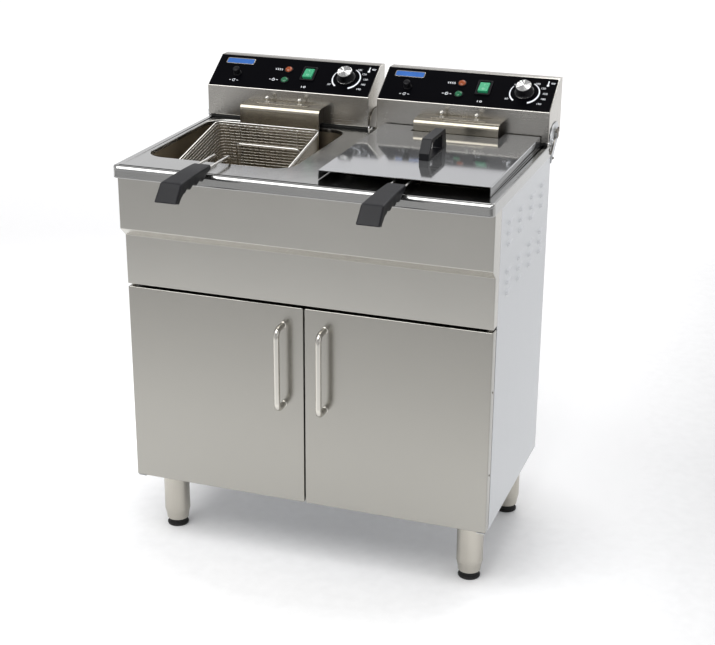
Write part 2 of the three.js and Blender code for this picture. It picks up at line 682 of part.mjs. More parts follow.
function makeGrip(side, name) {
  const x = side * GRIP.x;
  const half = GRIP.width / 2;
  let body = sideProfile(gripOutline(), x - half, x + half, 5);
  for (const hand of SIDES) {
    const wireX = x + hand * WIRE.half;
    const deep = WIRE.end - GRIP.socket;
    body = body.subtract(lengthwise(WIRE.radius + GAP, wireX, deep, GRIP.back + 1, TOP.z + WIRE.z, 12));
  }
  add(`basket_grip_${name}`, body, CHARCOAL);
}

function makeLid() {
  const { inner, outer, front, back, high, sheet, foot, notch } = LID;
  const [z0, z1] = [TOP.z + foot, TOP.z + high];
  const outline = polygon([
    [inner, z0], [inner + sheet, z0], [inner + sheet, z1 - sheet], [outer - sheet, z1 - sheet],
    [outer - sheet, z0], [outer, z0], [outer, z1], [inner, z1],
  ]);
  let body = frontProfile(outline, front, back);
  const half = COVER.half + notch;
  body = body.subtract(box(HEAD_X - half, HEAD_X + half, COVER.front - notch, back + 1, z0 - 1, z1 + 1));
  add('lid', body, POLISHED);
}

// A bridge whose thin front leg rises straight, then leans back to the bar; the rear leg is wider.
function makeLidHandle() {
  const { x, width, front, back, topFront, topBack, height, step } = BRIDGE;
  const { openFront, openTop, openBack, bar, tip, crown, crownBack } = BRIDGE;
  const low = TOP.z + LID.high + GAP;
  const high = low + height;
  const outline = new THREE.Shape();
  outline.moveTo(front, low);
  outline.lineTo(openFront, low);
  outline.lineTo(openFront, low + step);
  outline.lineTo(openTop, high - bar);
  outline.lineTo(openBack, high - bar);
  outline.lineTo(openBack, low);
  outline.lineTo(back, low);
  outline.lineTo(topBack + crownBack, high - tip);
  outline.quadraticCurveTo(topBack, high, topBack - crown, high);
  outline.lineTo(topFront + crown, high);
  outline.quadraticCurveTo(topFront, high, topFront - crownBack, high - tip);
  outline.lineTo(front, low + step);
  add('lid_handle', sideProfile(outline, x - width / 2, x + width / 2, 3), BLACK);
}

// ---------------------------------------------------------------- assembly
makeWorktop();
makeFascia();
both(makeSidePanel);
makeBackPanel();
makeBasePan();
both(makeTank);
both(makeDrain);
makeStands();
both(makeDoor);
both(makeHingePin);
both(makeDoorHandle);
both(makeHead);
both(makeOuterBracket);
makeCentreBracket();
both(makeBasket);
both(makeGrip);
makeLid();
makeLidHandle();

const rearmost = HEAD.back + GAP + GLAND.length;
group.position.y = -(GRIP.front + rearmost) / 2;

export default group;
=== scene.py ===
"""The look of a twin-tank deep fryer on a two-door cabinet: detailed pieces, materials, studio and camera.

Pieces are drawn in millimetres: x to the right, y as depth behind the worktop's front edge, z above the floor.
"""
import math

import bmesh
import bpy
from mathutils import Matrix, Vector
from mathutils.geometry import tessellate_polygon


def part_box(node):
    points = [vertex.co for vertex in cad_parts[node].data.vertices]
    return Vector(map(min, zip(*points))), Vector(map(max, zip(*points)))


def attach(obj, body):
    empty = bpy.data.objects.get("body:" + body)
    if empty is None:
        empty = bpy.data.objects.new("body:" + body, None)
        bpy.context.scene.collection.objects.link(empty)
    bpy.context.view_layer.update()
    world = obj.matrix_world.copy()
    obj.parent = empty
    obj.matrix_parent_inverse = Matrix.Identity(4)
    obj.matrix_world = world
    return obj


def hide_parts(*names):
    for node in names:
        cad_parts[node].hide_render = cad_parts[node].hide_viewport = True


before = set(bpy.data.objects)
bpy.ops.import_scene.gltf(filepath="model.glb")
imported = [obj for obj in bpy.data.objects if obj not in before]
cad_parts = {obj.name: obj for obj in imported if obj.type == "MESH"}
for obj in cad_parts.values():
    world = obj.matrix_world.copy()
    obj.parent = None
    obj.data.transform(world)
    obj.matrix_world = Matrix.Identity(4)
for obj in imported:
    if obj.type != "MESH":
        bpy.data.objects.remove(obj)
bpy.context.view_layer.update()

MM = 0.001
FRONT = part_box("worktop")[0].y  # where depth 0 is in the row frame
SIDES = ((-1, "left"), (1, "right"))
SHEET = 1.2


def span(node):
    """The box of a CAD node in millimetres: x0, x1, depth0, depth1, z0, z1."""
    low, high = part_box(node)
    return tuple(v / MM for v in (low.x, high.x, low.y - FRONT, high.y - FRONT, low.z, high.z))


TOP = span("worktop")[5]


# ---- outlines and paths
def turn(count):
    """Angles of count equal steps of a full turn."""
    return [2 * math.pi * i / count for i in range(count)]


def at(angle, radius):
    """The point at an angle in radians on a circle round the origin."""
    return radius * math.cos(angle), radius * math.sin(angle)


def quarter(steps=5):
    """The steps of a quarter round, as pairs that run from (1, 0) to (0, 1)."""
    angles = [math.radians(90 * k / steps) for k in range(steps + 1)]
    return [(1 - math.sin(a), 1 - math.cos(a)) for a in angles]


def arc(cx, cy, radius, start, end, steps):
    """Points of an arc between two angles in degrees, both ends included."""
    angles = [math.radians(start + (end - start) * i / steps) for i in range(steps + 1)]
    return [(cx + radius * math.cos(a), cy + radius * math.sin(a)) for a in angles]


def rounded(x0, x1, y0, y1, radius, steps=6):
    """A rounded rectangle, anticlockwise from its lower left corner."""
    points = arc(x0 + radius, y0 + radius, radius, 180, 270, steps)
    points += arc(x1 - radius, y0 + radius, radius, 270, 360, steps)
    points += arc(x1 - radius, y1 - radius, radius, 0, 90, steps)
    return points + arc(x0 + radius, y1 - radius, radius, 90, 180, steps)


def level(outline, z):
    """A flat outline at a height."""
    return [(x, y, z) for x, y in outline]


def plate(x0, x1, y0, y1, inset, radius, z, steps=4):
    """A rounded rectangle at a height, drawn in from its sides by an inset."""
    return level(rounded(x0 + inset, x1 - inset, y0 + inset, y1 - inset, radius, steps), z)


def resampled(outline, count):
    """The closed outline as count evenly spaced points, each with its outward normal."""
    loop = [Vector(p) for p in outline]
    lengths = [(loop[(i + 1) % len(loop)] - p).length for i, p in enumerate(loop)]
    total = sum(lengths)
    result = []
    i, passed = 0, 0.0
    for k in range(count):
        target = total * k / count
        while passed + lengths[i] < target:
            passed += lengths[i]
            i += 1
        a, b = loop[i], loop[(i + 1) % len(loop)]
        along = (b - a).normalized()
        result.append((a + along * (target - passed), Vector((along.y, -along.x))))
    return result


def bent(points, radius, steps=5):
    """A path through points whose corners are rounded."""
    points = [Vector(p) for p in points]
    path = [points[0]]
    for before, corner, after in zip(points, points[1:], points[2:]):
        reach = min(radius, (before - corner).length * 0.49, (after - corner).length * 0.49)
        entry = corner + (before - corner).normalized() * reach
        leave = corner + (after - corner).normalized() * reach
        for i in range(steps + 1):
            t = i / steps
            path.append(entry * (1 - t) ** 2 + corner * 2 * t * (1 - t) + leave * t * t)
    return path + [points[-1]]


def mixed(a, b, t):
    """The value a part t of the way from a to b."""
    return a + (b - a) * t


def smooth(t):
    """An even rise from 0 to 1 that starts and ends flat."""
    t = min(1, max(0, t))
    return t * t * (3 - 2 * t)


# ---- mesh building
class Form:
    """A mesh in the making."""

    def __init__(self):
        self.points = []
        self.faces = []

    def add(self, points, faces, place=None):
        """Adds points and the faces between them, moved to a place."""
        start = len(self.points)
        points = [Vector(p) for p in points]
        self.points += [place @ p for p in points] if place else points
        self.faces += [[start + i for i in face] for face in faces]
        return self

    def loft(self, rings, closed=False, caps=True, place=None):
        """Skins rings of equally many points. A closed loft joins its last ring to its first."""
        n, count = len(rings[0]), len(rings)
        faces = []
        for k in range(count if closed else count - 1):
            a, b = k * n, (k + 1) % count * n
            faces += [[a + i, a + (i + 1) % n, b + (i + 1) % n, b + i] for i in range(n)]
        if caps and not closed:
            faces += [list(range(n)), [(count - 1) * n + i for i in range(n)]]
        return self.add([p for ring in rings for p in ring], faces, place)

    def lathe(self, profile, sides=24, place=None):
        """Turns a profile of (radius, height) pairs round the z axis."""
        return self.loft([[(*at(a, r), z) for a in turn(sides)] for r, z in profile], place=place)

    def tube(self, path, radius, sides=8, closed=False, place=None):
        """Sweeps a circle along a path, without twist."""
        path = [Vector(p) for p in path]
        count = len(path)
        rings, normal = [], None
        for i, point in enumerate(path):
            before = path[i - 1] if closed or i else point
            after = path[(i + 1) % count] if closed or i < count - 1 else point
            along = (after - before).normalized()
            normal = along.orthogonal() if normal is None else normal
            normal = (normal - along * normal.dot(along)).normalized()
            across = along.cross(normal)
            rings.append([point + (normal * math.cos(a) + across * math.sin(a)) * radius for a in turn(sides)])
        return self.loft(rings, closed, place=place)

    def prism(self, outline, low, high, sideways=False, place=None):
        """Extrudes an outline upwards, or with sideways set, a side view (y, z) across x."""
        rings = [[(w, u, v) if sideways else (u, v, w) for u, v in outline] for w in (low, high)]
        return self.loft(rings, place=place)

    def block(self, x0, x1, y0, y1, z0, z1, place=None):
        """A box, for small bars and plates."""
        return self.prism([(x0, y0), (x1, y0), (x1, y1), (x0, y1)], z0, z1, place=place)

    def panel(self, loops, place=None):
        """A flat face: the first loop is its edge and the rest are holes."""
        loops = [[Vector(p) for p in loop] for loop in loops]
        faces = [f for f in tessellate_polygon(loops) if len(set(f)) == 3]
        return self.add([p for loop in loops for p in loop], faces, place)


def soften(shape, width, steps, broad=0):
    """Rounds sharp edges. With broad set, only outer folds between faces at least that wide."""
    edges = []
    for edge in shape.edges:
        if len(edge.link_faces) != 2 or edge.calc_face_angle(0) < math.radians(35):
            continue
        if broad:
            breadths = [f.calc_area() / max(e.calc_length() for e in f.edges) for f in edge.link_faces]
            if not edge.is_convex or min(breadths) < broad * MM:
                continue
        edges.append(edge)
    bmesh.ops.bevel(
        shape, geom=edges, offset=width * MM, offset_type="OFFSET", segments=steps,
        profile=0.5, affect="EDGES", clamp_overlap=not broad,
    )


def dress(name, shape, look, body, slot, replaces=(), edge=0, fold=0, sharp=35):
    """Finishes a mesh and makes it a piece. edge and fold are radii for its sharp edges and sheet folds."""
    bmesh.ops.remove_doubles(shape, verts=shape.verts, dist=0.002 * MM)
    bmesh.ops.recalc_face_normals(shape, faces=shape.faces)
    if fold:
        soften(shape, fold, 4, broad=6)
    if edge:
        soften(shape, edge, 2)
    mesh = bpy.data.meshes.new(name)
    shape.to_mesh(mesh)
    shape.free()
    mesh.shade_smooth()
    mesh.set_sharp_from_angle(angle=math.radians(sharp))
    mesh.materials.append(LOOKS[look])
    thing = bpy.data.objects.new(name, mesh)
    bpy.context.scene.collection.objects.link(thing)
    weighted = thing.modifiers.new("weighted normals", "WEIGHTED_NORMAL")
    weighted.keep_sharp = True
    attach(thing, body)
    if replaces:
        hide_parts(*replaces)
    return thing


def piece(name, form, look, body, slot, replaces=(), **finish):
    """Makes a piece from a Form."""
    shape = bmesh.new()
    verts = [shape.verts.new((p.x * MM, FRONT + p.y * MM, p.z * MM)) for p in form.points]
    for face in form.faces:
        shape.faces.new([verts[i] for i in face])
    return dress(name, shape, look, body, slot, replaces, **finish)


def remade(node, suffix, form, look, body, slot, **finish):
    """A piece from a Form that replaces a CAD node and is named after it."""
    piece(f"{node}_{suffix}", form, look, body, slot, [node], **finish)


def refined(node, look, body, slot, **finish):
    """The CAD node's own shape with clean faces and rounded edges."""
    shape = bmesh.new()
    shape.from_mesh(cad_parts[node].data)
    bmesh.ops.remove_doubles(shape, verts=shape.verts, dist=0.005 * MM)
    bmesh.ops.dissolve_limit(shape, angle_limit=math.radians(0.6), verts=shape.verts, edges=shape.edges)
    return dress(f"{node}_detailed", shape, look, body, slot, [node], **finish)


# ---- materials
def tint(code):
    """A linear colour from a six-digit sRGB code."""
    parts = [int(code[i : i + 2], 16) / 255 for i in (0, 2, 4)]
    return tuple(p / 12.92 if p <= 0.04045 else ((p + 0.055) / 1.055) ** 2.4 for p in parts) + (1,)


class Look:
    """A procedural material: grain, clouds, specks and edge wear on a Principled shader."""

    def __init__(self, name):
        self.material = bpy.data.materials.new(name)
        self.material.use_nodes = True
        self.tree = self.material.node_tree
        self.shader = next(n for n in self.tree.nodes if n.type == "BSDF_PRINCIPLED")
        self.place = self.node("TexCoord").outputs["Object"]

    def node(self, kind, values=(), **settings):
        """A new node. values are its inputs, each a number or another node's output."""
        made = self.tree.nodes.new("ShaderNode" + kind)
        for key, value in settings.items():
            setattr(made, key, value)
        for key, value in dict(values).items():
            if hasattr(value, "is_output"):
                self.tree.links.new(value, made.inputs[key])
            else:
                made.inputs[key].default_value = value
        return made

    def noise(self, scale, stretch=(1, 1, 1), detail=3, rough=0.55):
        mapping = self.node("Mapping", {"Vector": self.place, "Scale": stretch})
        values = {"Vector": mapping.outputs[0], "Scale": scale, "Detail": detail, "Roughness": rough}
        return self.node("TexNoise", values).outputs[0]

    def ranged(self, value, from_low, from_high, to_low, to_high):
        """A value between two limits, spread over a new range."""
        values = {1: from_low, 2: from_high, 3: to_low, 4: to_high}
        return self.node("MapRange", {0: value, **values}).outputs[0]

    def math(self, operation, a, b):
        return self.node("Math", {0: a, 1: b}, operation=operation).outputs[0]

    def mix(self, factor, a, b):
        made = self.node("Mix", data_type="RGBA")
        for socket, value in ((made.inputs[0], factor), (made.inputs[6], a), (made.inputs[7], b)):
            if hasattr(value, "is_output"):
                self.tree.links.new(value, socket)
            else:
                socket.default_value = value
        return made.outputs[2]

    def link(self, value, name):
        self.tree.links.new(value, self.shader.inputs[name])

    def fixed(self, **values):
        for key, value in values.items():
            self.shader.inputs[key.replace("_", " ")].default_value = value


def shade(color, factor):
    """A lighter or darker colour."""
    return tuple(min(1, c * factor) for c in color[:3]) + (1,)


def make_look(
    name, code, rough, metal=0, grain=None, grain_depth=0.02, tone=0.08, spread=0.1, cloud=7,
    speck=900, speck_depth=0, wear=0.25, wear_code=None, smudge=0, tangent=None, **fixed,
):
    """One surface finish.

    grain stretches the fine lines. tone and spread are how far colour and roughness vary. cloud and speck are
    scales of noise. wear lightens edges, and smudge adds dull marks. Depths are in millimetres.
    """
    look = Look(name)
    color = tint(code)
    clouds = look.noise(cloud, detail=4)
    specks = look.noise(speck, detail=2)
    lines = look.noise(1, grain, rough=0.7) if grain else specks
    blend = look.math("ADD", look.math("MULTIPLY", clouds, 0.55), look.math("MULTIPLY", lines, 0.45))
    factor = look.ranged(blend, 0.3, 0.7, 0, 1)
    base = look.mix(factor, shade(color, 1 - tone), shade(color, 1 + tone))
    roughness = look.ranged(blend, 0.3, 0.7, max(0.02, rough - spread), rough + spread)
    if smudge:
        marks = look.noise(26, (1, 1, 0.45), detail=6, rough=0.65)
        marks = look.ranged(marks, 0.52, 0.72, 0, smudge)
        roughness = look.math("ADD", roughness, marks)
    if wear:
        point = look.node("NewGeometry").outputs["Pointiness"]
        patches = look.ranged(specks, 0.35, 0.6, 0.3, 1)
        edges = look.math("MULTIPLY", look.ranged(point, 0.51, 0.6, 0, wear), patches)
        base = look.mix(edges, base, tint(wear_code) if wear_code else shade(color, 1.35))
    look.link(base, "Base Color")
    look.link(roughness, "Roughness")
    height = look.math("ADD", lines, look.math("MULTIPLY", clouds, 0.35))
    if speck_depth:
        height = look.math("ADD", height, look.math("MULTIPLY", specks, speck_depth))
    bump = look.node("Bump", {"Strength": 0.35, "Distance": grain_depth * MM, "Height": height})
    look.link(bump.outputs[0], "Normal")
    if tangent:
        look.link(look.node("Tangent", direction_type="RADIAL", axis=tangent).outputs[0], "Tangent")
    look.fixed(Metallic=metal, **fixed)
    return look.material


CROSS_GRAIN = (5, 800, 800)  # lines along x
TALL_GRAIN = (800, 800, 5)  # lines along z
DEEP_GRAIN = (800, 5, 800)  # lines along y

LOOKS = {
    # Front, door and side steel are one stainless steel: the doors' base is darker as painted shade, and the
    # sides' base lighter as painted light.
    "front": make_look("front_steel", "bcbab4", 0.22, 1, CROSS_GRAIN, tone=0.015, spread=0.02, smudge=0.01,
                       tangent="Z", Anisotropic=0.5, Anisotropic_Rotation=0.25),
    "door": make_look("door_steel", "a4a29c", 0.25, 1, TALL_GRAIN, tone=0.012, spread=0.015, smudge=0.01,
                      tangent="Z", Anisotropic=0.4, Anisotropic_Rotation=0.25),
    "top": make_look("worktop_steel", "b3b3b1", 0.17, 1, CROSS_GRAIN, tone=0.03, spread=0.04, smudge=0.05),
    "side": make_look("side_steel", "c6c8ca", 0.36, 1, TALL_GRAIN, tone=0.02, spread=0.03, smudge=0.02),
    "head": make_look("head_steel", "bfbcb6", 0.25, 1, CROSS_GRAIN, tone=0.025, spread=0.04, smudge=0.04),
    "tank": make_look("tank_steel", "a89d8b", 0.38, 1, TALL_GRAIN, tone=0.12, spread=0.1, smudge=0.1),
    "leg": make_look("leg_steel", "bab6ad", 0.3, 1, TALL_GRAIN, tone=0.05, spread=0.06),
    "handle": make_look("handle_steel", "cbc8c1", 0.2, 1, TALL_GRAIN, tone=0.05, spread=0.05),
    "polished": make_look("polished_steel", "acadae", 0.07, 0.85, DEEP_GRAIN, grain_depth=0.001, tone=0.02,
                          spread=0.01, smudge=0.02),
    "cover": make_look("cover_steel", "a39d90", 0.2, 1, CROSS_GRAIN, grain_depth=0.01, tone=0.04, spread=0.04,
                       smudge=0.05, tangent="Z", Anisotropic=0.5, Anisotropic_Rotation=0.25),
    "cap": make_look("turned_cap", "d4d4d2", 0.2, 1, tone=0.06, spread=0.05, speck=400),
    "chrome": make_look("chrome_wire", "cfcdc8", 0.18, 1, tone=0.1, spread=0.08, speck=400),
    "mesh": make_look("basket_mesh", "b4afa6", 0.2, 1, tone=0.15, spread=0.1, speck=400),
    "plated": make_look("plated_fittings", "86827b", 0.3, 1, tone=0.14, spread=0.1, speck=300),
    "element": make_look("element_steel", "5a554e", 0.45, 1, tone=0.25, spread=0.12, cloud=30),
    "foil": make_look("panel_foil", "050508", 0.34, tone=0.12, spread=0.06, speck=1500, speck_depth=0.6,
                      grain_depth=0.01, wear=0, smudge=0.03, Specular_IOR_Level=0.03),
    "black": make_look("black_plastic", "0f0f12", 0.35, tone=0.2, spread=0.1, speck=1200, speck_depth=0.5,
                       wear=0.15, wear_code="303034", Specular_IOR_Level=0.2),
    "grip": make_look("grip_charcoal", "0d0d11", 0.5, tone=0.12, spread=0.08, speck=1600, speck_depth=1,
                      grain_depth=0.05, wear=0.35, wear_code="303036", Specular_IOR_Level=0.25),
    "rubber": make_look("foot_rubber", "161615", 0.75, tone=0.25, spread=0.1, speck=900, speck_depth=1,
                        grain_depth=0.06, wear=0.3, wear_code="3b3a38"),
    "green": make_look("switch_green", "2f9e70", 0.3, tone=0.2, spread=0.06, cloud=60, wear=0.2,
                       wear_code="6fd9a8", Transmission_Weight=0.2, Coat_Weight=0.3,
                       Emission_Color=tint("3dbb86"), Emission_Strength=0.1),
    "lamp_green": make_look("lamp_green", "0a6b43", 0.25, tone=0.3, spread=0.06, cloud=120, wear=0.3,
                            wear_code="2f9f6c", Transmission_Weight=0.3, Coat_Weight=0.2,
                            Emission_Color=tint("0d9558"), Emission_Strength=0.05),
    "amber": make_look("lamp_amber", "9c420f", 0.25, tone=0.3, spread=0.06, cloud=120, wear=0.3,
                       wear_code="f08a50", Transmission_Weight=0.3, Coat_Weight=0.2,
                       Emission_Color=tint("c8601c"), Emission_Strength=0.08),
    # The white print glows a little: painted light, as print is no lamp.
    "print": make_look("white_print_painted_glow", "e4e7ec", 0.5, tone=0.06, spread=0.1, wear=0,
                       Emission_Color=tint("e4e7ec"), Emission_Strength=0.12),
    "pale": make_look("pale_green_print", "9ed6bd", 0.5, tone=0.06, spread=0.1, wear=0),
    "badge": make_look("badge_blue", "2560ae", 0.35, 0.1, tone=0.25, spread=0.08, cloud=25, wear=0.2,
                       Coat_Weight=0.3),
}


# ---- worktop and tanks
NOSE = 9.0  # radius of the front edge
FOLD = 3.0  # radius of the other edges
CORNER = 9.5  # radius of the corners in plan
FLAT = 14.0  # where the rolled edge has run out into the flat top
HEM = 0.8  # how far the upper skirt stands behind the hem at the front
ROLL = 2.5  # rolled edge of the tank openings
RIM = 9.0  # the tank's flange under the worktop
TANK_CORNER = 40.0
TANK_WALL = 1.5
TANK_CLEAR = 0.7  # between the tank's inside and the worktop's skirt round the opening
BOWL = 14.0  # radius between the tank's wall and floor
DRAIN_HOLE = 10.0
DRAIN_BACK = 13.0  # from the back of the drain valve to the middle of its hole

# Insets at the sides and at the front, and height above the skirt's lower edge.
HEM_SECTION = (
    (SHEET, HEM + SHEET, 3.2), (SHEET + 0.3, SHEET + 0.3, 0.2), (0.5, 0.5, 0), (0, 0, 0.6), (0, 0, 2.2),
    (0, HEM, 3),
)
# The skirt round a tank's opening: how far outside the opening, and how far below the top.
SKIRT_SECTION = ((0, 7), (0.5, 7), (0.9, ROLL), (2.4, 2), (5, SHEET))


def opening(name, grow, steps=10):
    """The tank opening's outline, grown outward."""
    x0, x1, y0, y1, _, _ = span(f"tank_{name}")
    g = RIM - grow
    return rounded(x0 + g, x1 - g, y0 + g, y1 - g, TANK_CORNER + grow, steps)


def make_worktop():
    """The worktop pan: rolled at the front, folded at the other sides, with a hole over each tank."""
    x0, x1, y0, y1, z0, z1 = span("worktop")
    outline = rounded(x0, x1, y0, y1, CORNER)
    centres = rounded(x0 + CORNER, x1 - CORNER, y0 + CORNER, y1 - CORNER, 0)
    normals = [((x - cx) / CORNER, (y - cy) / CORNER) for (x, y), (cx, cy) in zip(outline, centres)]

    def ring(insets, heights):
        """A ring with an inset and a height for the sides and back, and others for the front."""
        made = []
        for (x, y), (nx, ny) in zip(outline, normals):
            front = smooth(-ny)
            inset = mixed(*insets, front)
            made.append((x - nx * inset, y - ny * inset, mixed(*heights, front)))
        return made

    def fold(skin, down, inward):
        """A ring of the rounded edge, at a depth in the sheet."""
        hems, radii = (0, HEM), (FOLD, NOSE)
        insets = [hem + skin + (radius - hem - skin) * inward for hem, radius in zip(hems, radii)]
        return ring(insets, [z1 - skin - (radius - skin) * down for radius in radii])

    rings = [ring((FLAT, FLAT), (z1 - SHEET, z1 - SHEET))]
    rings += [fold(SHEET, *turned) for turned in quarter()[::-1]]
    rings += [ring((side, front), (z0 + height, z0 + height)) for side, front, height in HEM_SECTION]
    rings += [fold(0, *turned) for turned in quarter(8)]
    rings.append(ring((FLAT, FLAT), (z1, z1)))
    form = Form().loft(rings, caps=False)
    upper, lower = [rings[-1]], [rings[0]]
    for _, name in SIDES:
        hole = [level(opening(name, ROLL * out), z1 - ROLL * down) for out, down in quarter()]
        hole += [level(opening(name, out), z1 - down) for out, down in SKIRT_SECTION]
        form.loft(hole, caps=False)
        upper.append(hole[0])
        lower.append(hole[-1])
    form.panel(upper)
    form.panel(lower)
    remade("worktop", "folded", form, "top", "cabinet", "cabinet_steel", sharp=50)


def make_tank(name):
    """A pressed tank with a rounded bottom, hung by its flange, with a drain hole."""
    z0 = span(f"tank_{name}")[4]
    drain = span(f"drain_valve_{name}")
    rim, under = TOP - 1.6, TOP - 3.0
    inside, outside = [], []
    for up, inward in quarter():
        inside.append(level(opening(name, TANK_CLEAR - BOWL * inward), z0 + TANK_WALL + BOWL * up))
        outside.append(level(opening(name, TANK_CLEAR + TANK_WALL - BOWL * inward), z0 + BOWL * up))
    flange = ((TANK_CLEAR, rim), (RIM, rim), (RIM, under), (TANK_CLEAR + TANK_WALL, under))
    rings = inside[::-1] + [level(opening(name, out), z) for out, z in flange] + outside
    form = Form().loft(rings, caps=False)
    cx, cy = (drain[0] + drain[1]) / 2, drain[3] - DRAIN_BACK
    circle = [(cx + u, cy + v) for u, v in (at(a, DRAIN_HOLE) for a in turn(20))]
    holes = [level(circle, z0 + TANK_WALL), level(circle, z0)]
    form.loft(holes, caps=False)
    form.panel([rings[0], holes[0]])
    form.panel([rings[-1], holes[1]])
    remade(f"tank_{name}", "pressed", form, "tank", "cabinet", "tank_steel", sharp=50)


make_worktop()
for _, name in SIDES:
    make_tank(name)


# ---- cabinet
SCREW = [(0, 0.7), (1.1, 0.7), (1.3, 1.5), (2.4, 1.4), (3.2, 0.8), (3.4, 0), (3.4, -0.4), (0, -0.4)]


def facing(axis, x, y, z):
    """A place whose z axis points along the given direction: +x, -x, +y or -y."""
    quarter_turn = math.pi / 2 if axis in ("+x", "-y") else -math.pi / 2
    return Matrix.Translation((x, y, z)) @ Matrix.Rotation(quarter_turn, 4, "Y" if axis[1] == "x" else "X")


def screws(form, spots, scale=1):
    """Adds a screw head at each spot, given as a direction and a point."""
    for axis, x, y, z in spots:
        form.lathe([(r * scale, h * scale) for r, h in SCREW], 14, facing(axis, x, y, z))


LOUVRE_FRONT = 107.0  # depth of the first column
LOUVRE_TOPS = (697.5, 607.5)  # height of each block's top row
LOUVRE_LENGTH = 43.0
LOUVRE_BULGE = 4.2
LOUVRE_MOUTH = 0.16  # the part of the length over which a hood rises behind its mouth


def hood(face, side, front, middle):
    """Rings of one louvre hood: it rises at its front end and fades towards its back."""
    rings = []
    for i in range(15):
        u = (i / 14) ** 1.5
        fade = (1 - max(0, u - LOUVRE_MOUTH) / (1 - LOUVRE_MOUTH)) ** 0.75
        swell = smooth(u / LOUVRE_MOUTH) * fade
        half = 2.2 + 3.6 * math.sqrt(math.sin(math.pi * (u * 0.86 + 0.08)))
        depth = front + LOUVRE_LENGTH * u
        outer, inner = [], []
        for k in range(11):
            v = k / 5 - 1
            bulge = LOUVRE_BULGE * swell * (0.5 + 0.5 * math.cos(v * math.pi))
            outer.append((face + side * (bulge + 0.02), depth, middle + half * v))
            inner.append((face + side * (bulge * 0.8 - 0.6), depth, middle + half * v * 0.84))
        rings.append(outer + inner[::-1])
    return rings


def make_louvres(side, name):
    """Two blocks of raised hoods on the side panel, three rows of four."""
    x0, x1 = span(f"side_panel_{name}")[:2]
    face = x1 if side > 0 else x0
    form = Form()
    for top in LOUVRE_TOPS:
        for row in range(3):
            for column in range(4):
                form.loft(hood(face, side, LOUVRE_FRONT + 81.5 * column, top - 19.5 * row))
    piece(f"louvre_hoods_{name}", form, "side", "cabinet", "side_steel", sharp=55)


def make_cabinet():
    """Panels, valves, levers, hinge pins and the screws of the back."""
    refined("front_fascia", "front", "cabinet", "cabinet_steel", fold=1.1, edge=0.3)
    refined("back_panel", "side", "cabinet", "side_steel", edge=0.4)
    refined("base_pan", "side", "cabinet", "side_steel", edge=0.3)
    for side, name in SIDES:
        refined(f"side_panel_{name}", "side", "cabinet", "side_steel", fold=1, edge=0.25)
        refined(f"drain_valve_{name}", "plated", "cabinet", "plated_fittings", edge=0.8)
        refined(f"drain_lever_{name}", "plated", f"drain_lever_{name}", "plated_fittings", edge=0.6)
        refined(f"hinge_pin_{name}", "plated", "cabinet", "plated_fittings", edge=0.4)
        make_louvres(side, name)
    x0, x1, _, y1, z0, z1 = span("back_panel")
    spots = [(x, z) for x in (x0 + 12, x1 - 12) for z in (z0 + 20, 290, 450, 610, z1 - 14)]  # side rows
    spots += [(x, z) for x in (-170, 0, 170) for z in (z0 + 20, z1 - 60)]
    form = Form()
    screws(form, [("+y", x, y1, z) for x, z in spots])
    piece("back_screws", form, "plated", "cabinet", "plated_fittings")


LEG_PROFILE = [
    (20.6, 0), (21.4, 0.6), (22.2, 8), (24.2, 17), (25, 20), (25, 22), (24.6, 22.6), (25, 23.4), (25, 108),
    (25.4, 110), (30, 111.5), (30.6, 113), (30.6, 114.6), (0, 114.6),
]


def make_stand(end, name):
    """A round leg and its rubber levelling foot."""
    leg, foot = f"leg_{end}_{name}", f"foot_{end}_{name}"
    x0, x1, y0, y1, z0, z1 = span(leg)
    cx, cy = (x0 + x1) / 2, (y0 + y1) / 2
    scale = (z1 - z0) / LEG_PROFILE[-1][1]
    profile = [(0, 6), (19.4, 6), (20, 0)] + [(r, z * scale) for r, z in LEG_PROFILE]
    form = Form().lathe(profile, 36, Matrix.Translation((cx, cy, z0)))
    remade(leg, "tube", form, "leg", "cabinet", "leg_steel")
    z0, z1 = span(foot)[4:]
    height = z1 - z0
    profile = [
        (0, 0), (19.2, 0), (20.4, 0.5), (21, 1.6), (21, 3.6), (20.2, 4.6), (18.4, 5.2), (17.2, 5.4), (17, 5.8),
        (17, 13.4), (6, 13.7), (5.2, 14.2), (5.2, height - 1), (4.4, height), (0, height),
    ]
    form = Form().lathe(profile, 32, Matrix.Translation((cx, cy, z0)))
    remade(foot, "pad", form, "rubber", foot, "foot_rubber")


make_cabinet()
for _, name in SIDES:
    make_stand("front", name)
    make_stand("rear", name)


# ---- doors
DOOR_EDGE = 1.8  # radius of the door's front edges
DOOR_CORNER = 2.4


